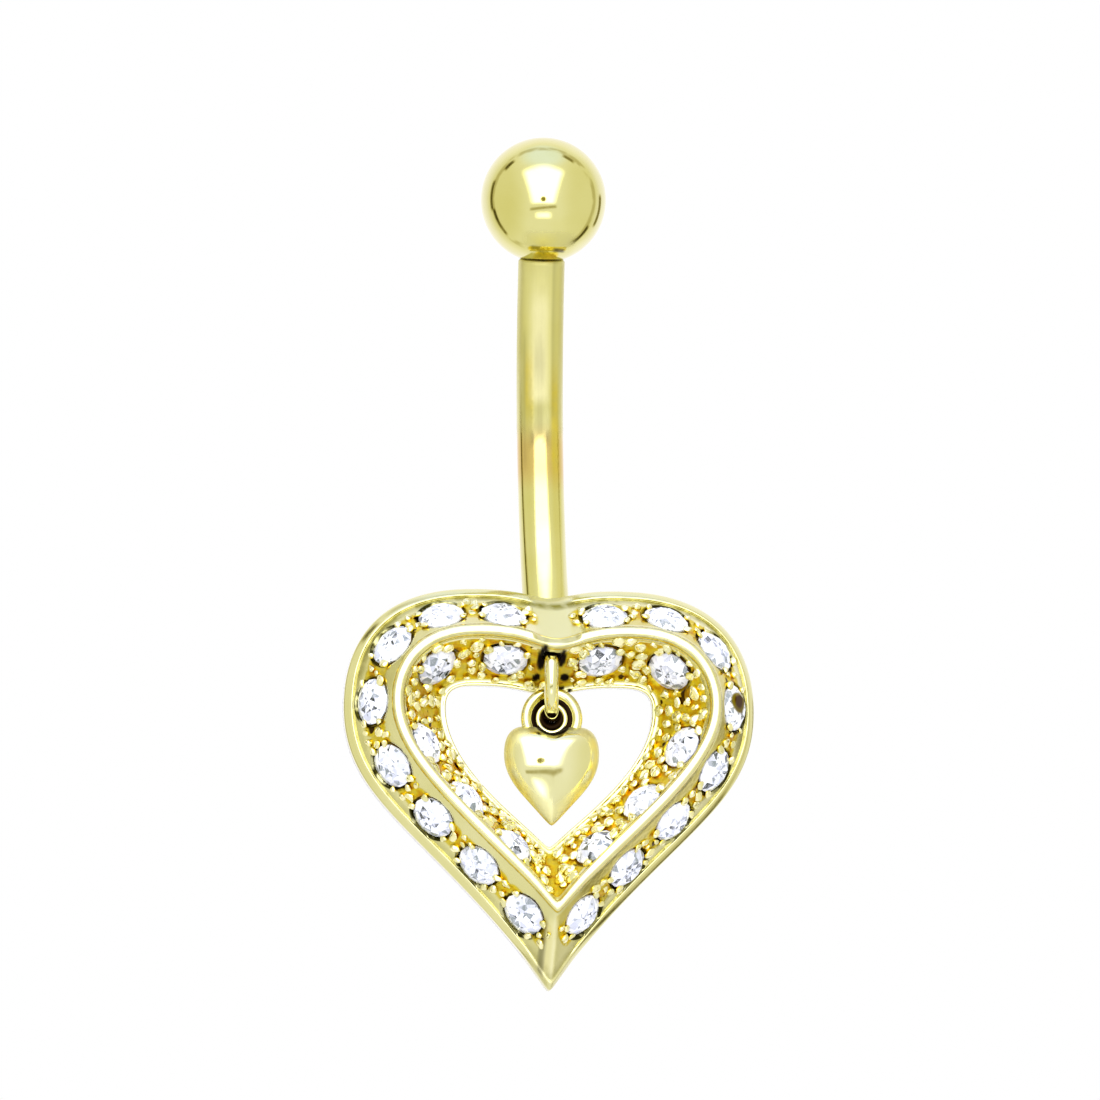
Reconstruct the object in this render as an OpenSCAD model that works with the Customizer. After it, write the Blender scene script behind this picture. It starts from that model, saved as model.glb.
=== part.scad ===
// Navel ring: a curved post with a screw-on ball, soldered to a stone-set open heart.
// A small puffed heart hangs from a link in the opening of the large one.
// Millimetres. +Z is up and the front faces -Y. The origin is the middle of the post.

/* [Post] */
// Diameter of the curved post, 14 gauge
post_d = 1.6; // [1.2:0.1:2]
// Straight distance from the ball down to the notch in the heart's top edge
post_len = 12.2; // [9:0.2:15]
// Radius of the post's curve
post_curve_r = 20; // [16:1:40]
// How far the top of the post leans back, in degrees
post_lean = 5; // [0:1:8]
// Length of post that runs down behind the heart's top edge
post_tail = 1.3; // [1:0.1:1.5]
// Distance from the heart's flat back to the post's axis at the notch
post_behind = 0.5; // [0.3:0.1:0.7]

/* [Ball] */
// Diameter of the ball
ball_d = 4.35; // [3.6:0.05:6]
// Diameter of the thread on the end of the post
thread_d = 1.2; // [0.9:0.1:1.2]
// Length of the thread
thread_len = 1.6; // [1.2:0.1:2]
// Running gap round the thread and under the ball's seat
thread_gap = 0.05; // [0.03:0.01:0.1]

/* [Large heart] */
// Width of the heart over both lobes
heart_w = 14.1; // [13.2:0.1:16]
// Height from the lobe tops to the tip
heart_h = 13.7; // [13.2:0.1:15.5]
// Height from the widest part up to the lobe tops
lobe_rise = 4.1; // [3.8:0.1:4.6]
// Distance of a lobe's highest point from the middle
lobe_x = 2.55; // [2.3:0.05:2.9]
// Depth of the notch between the lobes
notch_depth = 0.37; // [0.2:0.01:0.6]
// Height of the ridge above the flat back
ridge_h = 2.6; // [2.4:0.1:3]
// Width of the rounded line along the ridge
ridge_w = 0.34; // [0.2:0.02:0.44]
// Height of the outer rim above the flat back
rim_h = 0.75; // [0.55:0.05:0.9]
// Width of the rounded rim round the outer edge
rim_w = 0.3; // [0.2:0.02:0.4]
// Height of the lip round the opening above the flat back
lip_h = 0.4; // [0.3:0.05:0.5]
// Thickness of metal left at the outer edge and under the slopes
wall = 0.95; // [0.9:0.05:1]

/* [Outer band, from the outer edge to the ridge] */
// Width at the lobe tops
outer_top = 1.67; // [1.6:0.01:1.8]
// Width at the sides
outer_side = 1.61; // [1.55:0.01:1.8]
// Height at the tip
outer_tip = 2.65; // [2.5:0.05:2.8]
// Height at the notch
outer_notch = 1.87; // [1.8:0.01:2]

/* [Inner band, from the ridge to the opening] */
// Width at the lobe tops
inner_top = 1.65; // [1.6:0.01:1.75]
// Width at the sides
inner_side = 1.89; // [1.8:0.01:2]
// Height at the tip
inner_tip = 2.24; // [2.15:0.01:2.35]
// Height at the notch
inner_notch = 1.45; // [1.4:0.01:1.5]

/* [Stones] */
// Diameter of the stones on the outer band
outer_stone_d = 1.55; // [1.2:0.05:1.6]
// Diameter of the stones on the inner band
inner_stone_d = 1.5; // [1.1:0.05:1.55]
// Depth of a stone's girdle below the metal's surface
stone_sink = 0.1; // [0.08:0.01:0.14]
// Gap between a stone and its seat
seat_gap = 0.03; // [0.02:0.01:0.05]

/* [Link and drop] */
// Outer diameter of the round link
link_d = 2.88; // [2.8:0.04:2.96]
// Thickness of the link's wire
link_wire = 0.48; // [0.4:0.02:0.5]
// Distance of the link's centre below the notch
link_drop = 2.8; // [2.72:0.02:2.86]
// Distance of the link's centre in front of the heart's flat back
link_depth = 0.95; // [0.9:0.05:1]
// Play round the link's wire in its hole
link_gap = 0.18; // [0.14:0.01:0.2]
// Outer diameter of the loop on the drop
loop_d = 2.13; // [2.05:0.01:2.2]
// Thickness of the loop's outer ring
loop_wire = 0.38; // [0.32:0.02:0.4]
// Thickness of the collar round the loop's hole
collar_wire = 0.18; // [0.14:0.02:0.2]
// Thickness of the web between the collar and the outer ring
web_t = 0.1; // [0.08:0.01:0.14]
// Diameter of the loop's hole
loop_hole_d = 0.76; // [0.7:0.02:0.8]
// Gap between the loop and the link that it hangs on
hang_gap = 0.03; // [0.02:0.01:0.06]
// Width of the small heart
drop_w = 3.26; // [2.8:0.02:3.4]
// Height of the small heart from its lobe tops to its tip
drop_h = 3.38; // [2.8:0.02:3.4]
// Thickness of the small heart in the middle
drop_t = 1.5; // [1:0.05:1.7]
// Height of the loop that shows above the small heart's lobe tops
loop_rise = 1.34; // [1.2:0.02:1.4]

/* [Hidden] */
gold = [0.86, 0.83, 0.5];
crystal = [0.95, 0.96, 0.98];

post_r = post_d / 2;
post_half_angle = asin(post_len / 2 / post_curve_r);
post_tail_angle = post_tail / post_curve_r * 180 / PI;
// How far the ends of the post stand in front of its middle
post_bow = post_curve_r * (1 - cos(post_half_angle));

ball_r = ball_d / 2;
seat_r = post_r + thread_gap;
// The flat in the ball is as deep as the round surface is where the post's edge meets it
seat_depth = ball_r - sqrt(ball_r * ball_r - seat_r * seat_r) + thread_gap / 2;
bore_d = thread_d + 2 * thread_gap;
bore_depth = thread_len + 2 * thread_gap;

// Place of the heart: its notch is level with the lower end of post_len
notch_z = -post_len / 2 * cos(post_lean) + post_bow * sin(post_lean);
heart_back_y = -post_bow * cos(post_lean) - post_len / 2 * sin(post_lean) - post_behind;

// A heart outline in its own plane, as a row of named sizes. Heights are measured from
// the notch of the outer edge. The last five are shares that set the roundness of the
// lobe's top and side, the straightness of the side and the tip, and half the tip's angle.
HALF_W = 0;
WIDEST = 1;
LOBE_X = 2;
TOP = 3;
NOTCH = 4;
TIP = 5;
TOP_ROUND = 6;
SIDE_ROUND = 7;
SIDE_REACH = 8;
TIP_REACH = 9;
TIP_ANGLE = 10;

ridge_lobe_x = 1.06 * lobe_x;
outer_heart = [heart_w / 2, notch_depth - lobe_rise, lobe_x, notch_depth, 0, notch_depth - heart_h,
    0.72, 0.56, 0.355, 0.7, 36.7];
ridge_heart = [outer_heart[HALF_W] - outer_side, outer_heart[WIDEST], ridge_lobe_x,
    outer_heart[TOP] - outer_top, -outer_notch, outer_heart[TIP] + outer_tip,
    0.7, 0.5, 0.31, 0.53, 41.3];
opening_heart = [ridge_heart[HALF_W] - inner_side, ridge_heart[WIDEST], lobe_x,
    ridge_heart[TOP] - inner_top, ridge_heart[NOTCH] - inner_notch, ridge_heart[TIP] + inner_tip,
    0.8, 0.65, 0.38, 0.42, 49.6];

// The station along half an outline runs from 0 at the notch to 1 at the tip
LOBE_STATION = 0.2;
SIDE_STATION = 0.5;
lobe_steps = 4;
side_steps = 9;
tip_steps = 13;
half_stations = concat(
    [for (i = [0 : lobe_steps - 1]) LOBE_STATION * i / lobe_steps],
    [for (i = [0 : side_steps - 1]) LOBE_STATION + (SIDE_STATION - LOBE_STATION) * i / side_steps],
    [for (i = [0 : tip_steps]) SIDE_STATION + (1 - SIDE_STATION) * i / tip_steps]);

function curve(a, b, c, d, t) =
    pow(1 - t, 3) * a + 3 * t * pow(1 - t, 2) * b + 3 * t * t * (1 - t) * c + pow(t, 3) * d;

function lobe_curve(h, t) =
    curve([0, h[NOTCH]],
        [0.45 * h[LOBE_X], h[TOP] - 0.15 * (h[TOP] - h[NOTCH])],
        [0.6 * h[LOBE_X], h[TOP]],
        [h[LOBE_X], h[TOP]], t);

function side_curve(h, t) =
    curve([h[LOBE_X], h[TOP]],
        [h[LOBE_X] + h[TOP_ROUND] * (h[HALF_W] - h[LOBE_X]), h[TOP]],
        [h[HALF_W], h[WIDEST] + h[SIDE_ROUND] * (h[TOP] - h[WIDEST])],
        [h[HALF_W], h[WIDEST]], t);

function tip_curve(h, t) = let (reach = h[WIDEST] - h[TIP])
    curve([h[HALF_W], h[WIDEST]],
        [h[HALF_W], h[WIDEST] - h[SIDE_REACH] * reach],
        [0, h[TIP]] + h[TIP_REACH] * reach * [sin(h[TIP_ANGLE]), cos(h[TIP_ANGLE])],
        [0, h[TIP]], t);

// Point [x, height] of a heart outline at one station of its right half
function outline(h, s) =
    s < LOBE_STATION ? lobe_curve(h, s / LOBE_STATION) :
    s < SIDE_STATION ? side_curve(h, (s - LOBE_STATION) / (SIDE_STATION - LOBE_STATION)) :
    tip_curve(h, (s - SIDE_STATION) / (1 - SIDE_STATION));

// Point [x, height, depth] on the heart's section: share 0 is the ridge, 1 the outer edge
// and -1 the opening. Depth is measured forward from the flat back.
function section_point(s, share, depth) =
    let (edge = outline(share > 0 ? outer_heart : opening_heart, s))
    let (crest = outline(ridge_heart, s))
    let (p = crest + abs(share) * (edge - crest)) [p[0], p[1], depth];

// Shares of the two bands that the rim, the ridge line, the lip and the walls take up
rim_share = 1 - rim_w / outer_side;
ridge_share = ridge_w / 2 / outer_side;
lip_share = 0.94;
inner_wall = 0.65 * wall;
hollow_outer_share = 1 - wall / outer_side;
hollow_inner_share = 1 - inner_wall / inner_side;
apex_share = 0.08;
// Heights where the hollow in the back ends and where the slopes meet the rim and the ridge line
roof_wall = 1.68 * wall;
hollow_h = ridge_h - roof_wall;
slope_foot = 0.98 * rim_h;
slope_top = 0.955 * ridge_h;

// The heart's section, one row for each edge: share, depth
SHARE = 0;
DEPTH = 1;
heart_section = [
    [1, 0],
    [1, 0.72 * rim_h],
    [1 - 0.35 * (1 - rim_share), rim_h],
    [rim_share, slope_foot],
    [ridge_share, slope_top],
    [0.4 * ridge_share, ridge_h],
    [-0.4 * ridge_share, ridge_h],
    [-ridge_share, slope_top],
    [-lip_share, lip_h],
    [-1, 0.8 * lip_h],
    [-1, 0],
    [-hollow_inner_share, 0],
    [-apex_share, hollow_h],
    [apex_share, hollow_h],
    [hollow_outer_share, 0]];

// Depth of the front surface in the middle of either slope
function slope_depth(share) =
    share > 0
    ? slope_top + (slope_foot - slope_top) * (share - ridge_share) / (rim_share - ridge_share)
    : slope_top + (lip_h - slope_top) * (-share - ridge_share) / (lip_share - ridge_share);

function slope_point(s, share) = section_point(s, share, slope_depth(share));

function unit(v) = v / norm(v);

// Turns [x, height, depth] of the heart into the part's [x, y, z]
function placed(p) = [p[0], heart_back_y - p[2], notch_z + p[1]];

// Place and axes of a stone: its normal, a direction along the band and one across it
function stone_frame(s, share) =
    let (here = placed(slope_point(s, share)))
    let (along = placed(slope_point(s + 0.01, share)) - placed(slope_point(s - 0.01, share)))
    let (across = placed(slope_point(s, share + 0.02)) - placed(slope_point(s, share - 0.02)))
    let (normal = unit(cross(along, across)))
    let (side = unit(along))
    let (third = cross(normal, side))
    [[side[0], third[0], normal[0], here[0]],
     [side[1], third[1], normal[1], here[1]],
     [side[2], third[2], normal[2], here[2]],
     [0, 0, 0, 1]];

// Stones on the right half, one row each: station along the outline, share of the band
outer_stones = [
    [0.132, 0.43],
    [0.255, 0.47],
    [0.37, 0.48],
    [0.498, 0.51],
    [0.645, 0.51],
    [0.766, 0.54],
    [0.864, 0.56],
    [0.946, 0.56]];
inner_stones = [
    [0.125, -0.56],
    [0.332, -0.52],
    [0.612, -0.42],
    [0.768, -0.4],
    [0.898, -0.39]];

// Shares of a stone's diameter in a round brilliant cut
table_share = 0.56;
crown_share = 0.15;
girdle_share = 0.04;
pavilion_share = 0.42;

// Centre of the round link, in the middle plane of the heart
link_r = (link_d - link_wire) / 2;
link_at = [0, heart_back_y - link_depth, notch_z - link_drop];

// The drop hangs on the bottom of the link and swings about its wire
loop_r = (loop_d - loop_wire) / 2;
collar_r = (loop_hole_d + collar_wire) / 2;
pivot = link_at - [0, 0, link_r];
loop_z = (link_wire - loop_hole_d) / 2 + hang_gap;
drop_top = loop_z + loop_d / 2 - loop_rise;
drop_heart = [drop_w / 2, drop_top - 0.28 * drop_h, 0.27 * drop_w, drop_top, drop_top - 0.1 * drop_h,
    drop_top - drop_h, 0.72, 0.6, 0.4, 0.5, 44];
drop_middle = [0, drop_top - 0.38 * drop_h];
// Half section of the puffed heart, one row for each ring: share of the outline, share of depth
drop_section = [
    [1, 0],
    [0.975, 0.3],
    [0.88, 0.58],
    [0.7, 0.8],
    [0.42, 0.95]];

// A closed outline of both halves: down the right side and back up the left
function whole_outline(h) =
    let (right = [for (s = half_stations) outline(h, s)])
    concat(right, [for (i = [len(right) - 2 : -1 : 1]) [-right[i][0], right[i][1]]]);

// Both triangles of each patch between ring a and ring b of n points
function patch_faces(a, b, n) =
    [for (i = [0 : n - 1]) let (j = (i + 1) % n) each
        [[a * n + i, b * n + i, b * n + j], [a * n + i, b * n + j, a * n + j]]];

// The heart's metal, as rings that follow the outline
module heart_body() {
    rows = len(heart_section);
    rings = [for (row = heart_section)
        let (half = [for (s = half_stations) section_point(s, row[SHARE], row[DEPTH])])
        concat(half, [for (i = [len(half) - 2 : -1 : 1]) [-half[i][0], half[i][1], half[i][2]]])];
    n = len(rings[0]);
    points = [for (ring = rings) for (p = ring) placed(p)];
    faces = [for (r = [0 : rows - 1]) each patch_faces((r + 1) % rows, r, n)];
    polyhedron(points, faces);
}

// Place what belongs to one stone, on the right or the left half
module at_stone(row, left) {
    mirror([left ? 1 : 0, 0, 0]) multmatrix(stone_frame(row[0], row[1])) children();
}

// Pocket for one stone: a cone under the girdle and a straight wall above it
module seat(d) {
    r = d / 2 + seat_gap;
    foot_r = 0.12 * d;
    depth = pavilion_share * d + seat_gap;
    overlap = seat_gap / 30;
    translate([0, 0, -stone_sink - depth]) cylinder(r1 = foot_r, r2 = r, h = depth, $fn = 32);
    translate([0, 0, -stone_sink - overlap]) cylinder(r = r, h = 5 * stone_sink, $fn = 32);
}

// Brilliant-cut stone: eight-sided table, star and kite facets, girdle and pavilion
module brilliant(d) {
    r = d / 2;
    girdle_top = girdle_share * d / 2;
    culet = -girdle_top - pavilion_share * d;
    star_z = girdle_top + 0.62 * crown_share * d;
    star_r = r * (table_share + 0.42 * (1 - table_share));
    keel_z = -girdle_top - 0.26 * pavilion_share * d;
    keel_r = 0.76 * r;
    points = concat(
        [for (i = [0 : 7]) [table_share * r * cos(45 * i), table_share * r * sin(45 * i),
            girdle_top + crown_share * d]],
        [for (i = [0 : 7]) [star_r * cos(45 * i + 22.5), star_r * sin(45 * i + 22.5), star_z]],
        [for (i = [0 : 15]) [r * cos(22.5 * i), r * sin(22.5 * i), girdle_top]],
        [for (i = [0 : 15]) [r * cos(22.5 * i), r * sin(22.5 * i), -girdle_top]],
        [for (i = [0 : 7]) [keel_r * cos(45 * i + 22.5), keel_r * sin(45 * i + 22.5), keel_z]],
        [[0, 0, culet]]);
    table_at = 0;
    star_at = 8;
    upper_at = 16;
    lower_at = 32;
    keel_at = 48;
    culet_at = 56;
    faces = concat(
        [[for (i = [7 : -1 : 0]) table_at + i]],
        [for (i = [0 : 7]) let (j = (i + 1) % 8, g = 2 * i, next = (2 * i + 2) % 16) each [
            [table_at + i, table_at + j, star_at + i],
            [table_at + j, upper_at + next, star_at + i],
            [table_at + i, star_at + i, upper_at + g],
            [star_at + i, upper_at + g + 1, upper_at + g],
            [star_at + i, upper_at + next, upper_at + g + 1],
            [keel_at + i, lower_at + g, lower_at + g + 1],
            [keel_at + i, lower_at + g + 1, lower_at + next],
            [keel_at + i, culet_at, lower_at + g],
            [keel_at + i, lower_at + next, culet_at]]],
        [for (i = [0 : 15]) let (j = (i + 1) % 16) each [
            [upper_at + i, upper_at + j, lower_at + j],
            [upper_at + i, lower_at + j, lower_at + i]]]);
    polyhedron(points, faces);
}

module stone(row, left, d) {
    at_stone(row, left) translate([0, 0, -stone_sink]) brilliant(d);
}

// Stands the flat ring or bore that children draw about Z upright, about the part's X
module about_x() {
    rotate([90, 0, 90]) children();
}

// Curved post from behind the heart up to the ball, with its threaded end
module post() {
    rotate([-post_lean, 0, 0]) translate([0, -post_curve_r, 0]) {
        about_x()
            rotate([0, 0, -post_half_angle - post_tail_angle])
                rotate_extrude(angle = 2 * post_half_angle + post_tail_angle, $fn = 96)
                    translate([post_curve_r, 0]) circle(d = post_d, $fn = 32);
        rotate([post_half_angle, 0, 0]) translate([0, post_curve_r, -thread_gap])
            cylinder(d = thread_d, h = thread_len + thread_gap, $fn = 32);
    }
}

// Tunnel in the heart that the link passes through
module link_tunnel() {
    translate(link_at) about_x()
        rotate_extrude($fn = 96) translate([link_r, 0]) circle(d = link_wire + 2 * link_gap, $fn = 32);
}

// Large open heart, with its seats, soldered to the post
module heart_frame() {
    color(gold) union() {
        difference() {
            heart_body();
            for (left = [false, true]) {
                for (row = outer_stones) at_stone(row, left) seat(outer_stone_d);
                for (row = inner_stones) at_stone(row, left) seat(inner_stone_d);
            }
            link_tunnel();
        }
        post();
    }
}

// Ball that screws on to the post's threaded end
module ball() {
    color(gold)
        rotate([-post_lean, 0, 0]) translate([0, -post_curve_r, 0])
            rotate([post_half_angle, 0, 0]) translate([0, post_curve_r, ball_r - seat_depth + thread_gap])
                difference() {
                    sphere(r = ball_r, $fn = 64);
                    translate([0, 0, -2 * ball_r]) cylinder(r = seat_r, h = ball_r + seat_depth, $fn = 32);
                    translate([0, 0, -ball_r]) cylinder(d = bore_d, h = seat_depth + bore_depth, $fn = 32);
                }
}

// Round link through the heart's tunnel
module link() {
    color(gold) translate(link_at) about_x()
        rotate_extrude($fn = 96) translate([link_r, 0]) circle(d = link_wire, $fn = 32);
}

// Small heart, rounded on both faces
module puffed_heart() {
    outline_points = whole_outline(drop_heart);
    n = len(outline_points);
    rows = len(drop_section);
    function ring(row, side) = [for (p = outline_points)
        let (q = drop_middle + row[0] * (p - drop_middle)) [q[0], side * row[1] * drop_t / 2, q[1]]];
    front = [for (i = [rows - 1 : -1 : 0]) each ring(drop_section[i], -1)];
    back = [for (i = [1 : rows - 1]) each ring(drop_section[i], 1)];
    front_middle = [drop_middle[0], -drop_t / 2, drop_middle[1]];
    back_middle = [drop_middle[0], drop_t / 2, drop_middle[1]];
    ring_count = 2 * rows - 1;
    front_at = ring_count * n;
    faces = concat(
        [for (r = [0 : ring_count - 2]) each patch_faces(r, r + 1, n)],
        [for (i = [0 : n - 1]) [front_at, (i + 1) % n, i]],
        [for (i = [0 : n - 1]) [front_at + 1, (ring_count - 1) * n + i, (ring_count - 1) * n + (i + 1) % n]]);
    polyhedron(concat(front, back, [front_middle, back_middle]), faces);
}

// Half section of the loop: its outer ring, the collar round its hole and the web between them
module loop_section() {
    translate([loop_r, 0]) circle(d = loop_wire, $fn = 32);
    translate([collar_r, 0]) circle(d = collar_wire, $fn = 24);
    translate([collar_r, -web_t / 2]) square([loop_r - collar_r, web_t]);
}

// Drop: the small heart and the loop that it hangs by
module drop() {
    color(gold) translate(pivot) union() {
        puffed_heart();
        translate([0, 0, loop_z]) rotate([90, 0, 0]) rotate_extrude($fn = 96) loop_section();
    }
}

heart_frame();
ball();
link();
drop();
for (i = [1 : len(outer_stones)]) {
    color(crystal) stone(outer_stones[i - 1], false, outer_stone_d);
    color(crystal) stone(outer_stones[i - 1], true, outer_stone_d);
}
for (i = [1 : len(inner_stones)]) {
    color(crystal) stone(inner_stones[i - 1], false, inner_stone_d);
    color(crystal) stone(inner_stones[i - 1], true, inner_stone_d);
}
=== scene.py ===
"""Navel ring: a curved post with a screw-on ball and a stone-set open heart with a small drop.

The sizes below are in millimetres, in the same frame as the solids, and become metres when a
mesh is made. The front of the ring faces -Y and its top is +Z.
"""
from __future__ import annotations

import logging
import math
import random
from collections.abc import Callable, Iterable, Sequence
from dataclasses import dataclass, field
from enum import Enum
from typing import NamedTuple

import bmesh
import bpy
import numpy as np
from bpy.types import Camera, ColorRamp, Material, Mesh, Node, NodeOutputs, NodeSocket, NodeTree, Object
from mathutils import Matrix, Vector

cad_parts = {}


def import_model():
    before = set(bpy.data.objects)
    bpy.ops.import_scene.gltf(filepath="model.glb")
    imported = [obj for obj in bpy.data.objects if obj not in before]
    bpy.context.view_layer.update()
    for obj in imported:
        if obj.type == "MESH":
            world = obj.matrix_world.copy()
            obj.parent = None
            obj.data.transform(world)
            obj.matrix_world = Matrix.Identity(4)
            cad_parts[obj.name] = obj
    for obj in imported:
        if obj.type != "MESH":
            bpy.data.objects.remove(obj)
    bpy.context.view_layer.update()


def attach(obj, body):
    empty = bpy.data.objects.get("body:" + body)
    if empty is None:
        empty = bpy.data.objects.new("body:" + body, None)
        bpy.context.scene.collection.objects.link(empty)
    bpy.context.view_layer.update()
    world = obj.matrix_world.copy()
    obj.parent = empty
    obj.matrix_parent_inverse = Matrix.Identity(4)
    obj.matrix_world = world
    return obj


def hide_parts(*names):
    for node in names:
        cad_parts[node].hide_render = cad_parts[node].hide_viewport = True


LOG = logging.getLogger("navel_ring")

Colour = tuple[float, float, float]
BeadPlace = tuple[Vector, Vector, float]

MM = 0.001
RIGHT = Vector((1, 0, 0))
BACK = Vector((0, 1, 0))
UP = Vector((0, 0, 1))

# Stations along half a heart outline: the lobe's top, the widest point and the tip
LOBE_STATION = 0.2
SIDE_STATION = 0.5


class Body(Enum):
    """The bodies that a piece can ride on."""

    FRAME = "frame"
    BALL = "ball"
    DROP = "drop"


class Slot(Enum):
    """The material slots."""

    GOLD = "gold"
    STONE = "stone"


# Nodes


class Graph:
    """Adds nodes to one shader or geometry tree."""

    def __init__(self, tree: NodeTree) -> None:
        """Keeps the tree.

        Args:
            tree: The node tree that every node goes into.
        """
        self.tree = tree

    def node(self, kind: str, settings: dict | None = None, sockets: dict | None = None) -> Node:
        """Makes one node.

        Args:
            kind: The node's type name.
            settings: Properties that are set first; "stops" fills a colour ramp.
            sockets: Values, terms or output sockets for the inputs, by name or number.

        Returns:
            The new node.
        """
        made = self.tree.nodes.new(kind)
        for name, value in (settings or {}).items():
            if name == "stops":
                self._fill_ramp(made.color_ramp, value)
            elif name == "ramp_mode":
                made.color_ramp.interpolation = value
            else:
                setattr(made, name, value)
        for name, value in (sockets or {}).items():
            if isinstance(value, Term):
                self.tree.links.new(value.socket, made.inputs[name])
            elif isinstance(value, NodeSocket):
                self.tree.links.new(value, made.inputs[name])
            else:
                made.inputs[name].default_value = value
        return made

    def term(
        self, kind: str, settings: dict | None = None, sockets: dict | None = None, output: int | str = 0
    ) -> Term:
        """Makes one node and wraps one of its outputs.

        Args:
            kind: The node's type name.
            settings: Properties that are set first.
            sockets: Values or links for the inputs.
            output: Name or number of the output.

        Returns:
            The output as a term.
        """
        return Term(self, self.node(kind, settings, sockets).outputs[output])

    @staticmethod
    def _fill_ramp(ramp: ColorRamp, stops: Sequence[tuple[float, Sequence[float]]]) -> None:
        """Sets the stops of a colour ramp.

        Args:
            ramp: The ramp.
            stops: Position and colour of each stop, in order.
        """
        while len(ramp.elements) < len(stops):
            ramp.elements.new(1.0)
        for element, (place, colour) in zip(ramp.elements, stops):
            element.position = place
            element.color = (*colour, 1.0)


class Term:
    """An output socket that can stand in a Python sum or product."""

    def __init__(self, graph: Graph, socket: NodeSocket) -> None:
        """Keeps the socket.

        Args:
            graph: The graph that new Math nodes go into.
            socket: The output socket.
        """
        self.graph = graph
        self.socket = socket

    def _math(self, operation: str, other: Term | float | None = None, turned: bool = False) -> Term:
        """Adds one Math node.

        Args:
            operation: The node's operation.
            other: The second value.
            turned: True if the other value comes first.

        Returns:
            The node's result.
        """
        values = [self] if other is None else [other, self] if turned else [self, other]
        return self.graph.term("ShaderNodeMath", {"operation": operation}, dict(enumerate(values)))

    def __add__(self, other: Term | float) -> Term:
        """Sum."""
        return self._math("ADD", other)

    def __radd__(self, other: float) -> Term:
        """Sum with a number in front."""
        return self._math("ADD", other)

    def __sub__(self, other: Term | float) -> Term:
        """Difference."""
        return self._math("SUBTRACT", other)

    def __rsub__(self, other: float) -> Term:
        """Difference from a number."""
        return self._math("SUBTRACT", other, turned=True)

    def __mul__(self, other: Term | float) -> Term:
        """Product."""
        return self._math("MULTIPLY", other)

    def __rmul__(self, other: float) -> Term:
        """Product with a number in front."""
        return self._math("MULTIPLY", other)

    def __truediv__(self, other: Term | float) -> Term:
        """Quotient."""
        return self._math("DIVIDE", other)

    def __abs__(self) -> Term:
        """Size without its sign."""
        return self._math("ABSOLUTE")

    def step(self, low: float, high: float) -> Term:
        """Smooth step from 0 at low to 1 at high."""
        sockets = {"Value": self, "From Min": low, "From Max": high}
        return self.graph.term("ShaderNodeMapRange", {"interpolation_type": "SMOOTHSTEP"}, sockets)

    def within(self, low: float, high: float, edge: float) -> Term:
        """Mask that is 1 between two values and falls off over a soft edge."""
        return self.step(low - edge, low + edge) * (1 - self.step(high - edge, high + edge))


def blend(
    graph: Graph, share: Term | float, first: Term | Sequence[float], second: Term | Sequence[float]
) -> Term:
    """Mixes two colours.

    Args:
        graph: The graph.
        share: Share of the second colour.
        first: The first colour.
        second: The second colour.

    Returns:
        The mixed colour.
    """
    colours = [c if isinstance(c, Term) else (*c, 1.0) for c in (first, second)]
    sockets = {0: share, 6: colours[0], 7: colours[1]}
    return graph.term("ShaderNodeMix", {"data_type": "RGBA"}, sockets, output=2)


def noise(graph: Graph, place: Term, scale: float, detail: float) -> Term:
    """Cloudy values from 0 to 1.

    Args:
        graph: The tree's graph.
        place: The coordinates, or a direction.
        scale: Waves in a metre.
        detail: Number of finer layers.

    Returns:
        The values.
    """
    return graph.term("ShaderNodeTexNoise", None, {"Vector": place, "Scale": scale, "Detail": detail})


# Finishes


def new_material(name: str) -> tuple[Material, Graph, Term]:
    """Makes an empty node material.

    Args:
        name: Name of the material.

    Returns:
        The material, its graph and the object's own coordinates in it.
    """
    made = bpy.data.materials.new(name)
    made.use_nodes = True
    made.node_tree.nodes.clear()
    graph = Graph(made.node_tree)
    return made, graph, graph.term("ShaderNodeTexCoord", output="Object")


def read_values(graph: Graph, *names: str) -> list[Term]:
    """Reads attributes of the piece in a material."""
    return [graph.term("ShaderNodeAttribute", {"attribute_name": name}, output="Fac") for name in names]


def end_material(graph: Graph, sockets: dict) -> None:
    """Ends a material with its shader and output.

    Args:
        graph: The material's graph.
        sockets: Values or links for the shader's inputs.
    """
    shader = graph.node("ShaderNodeBsdfPrincipled", None, sockets)
    graph.node("ShaderNodeOutputMaterial", None, {"Surface": shader.outputs[0]})


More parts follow.
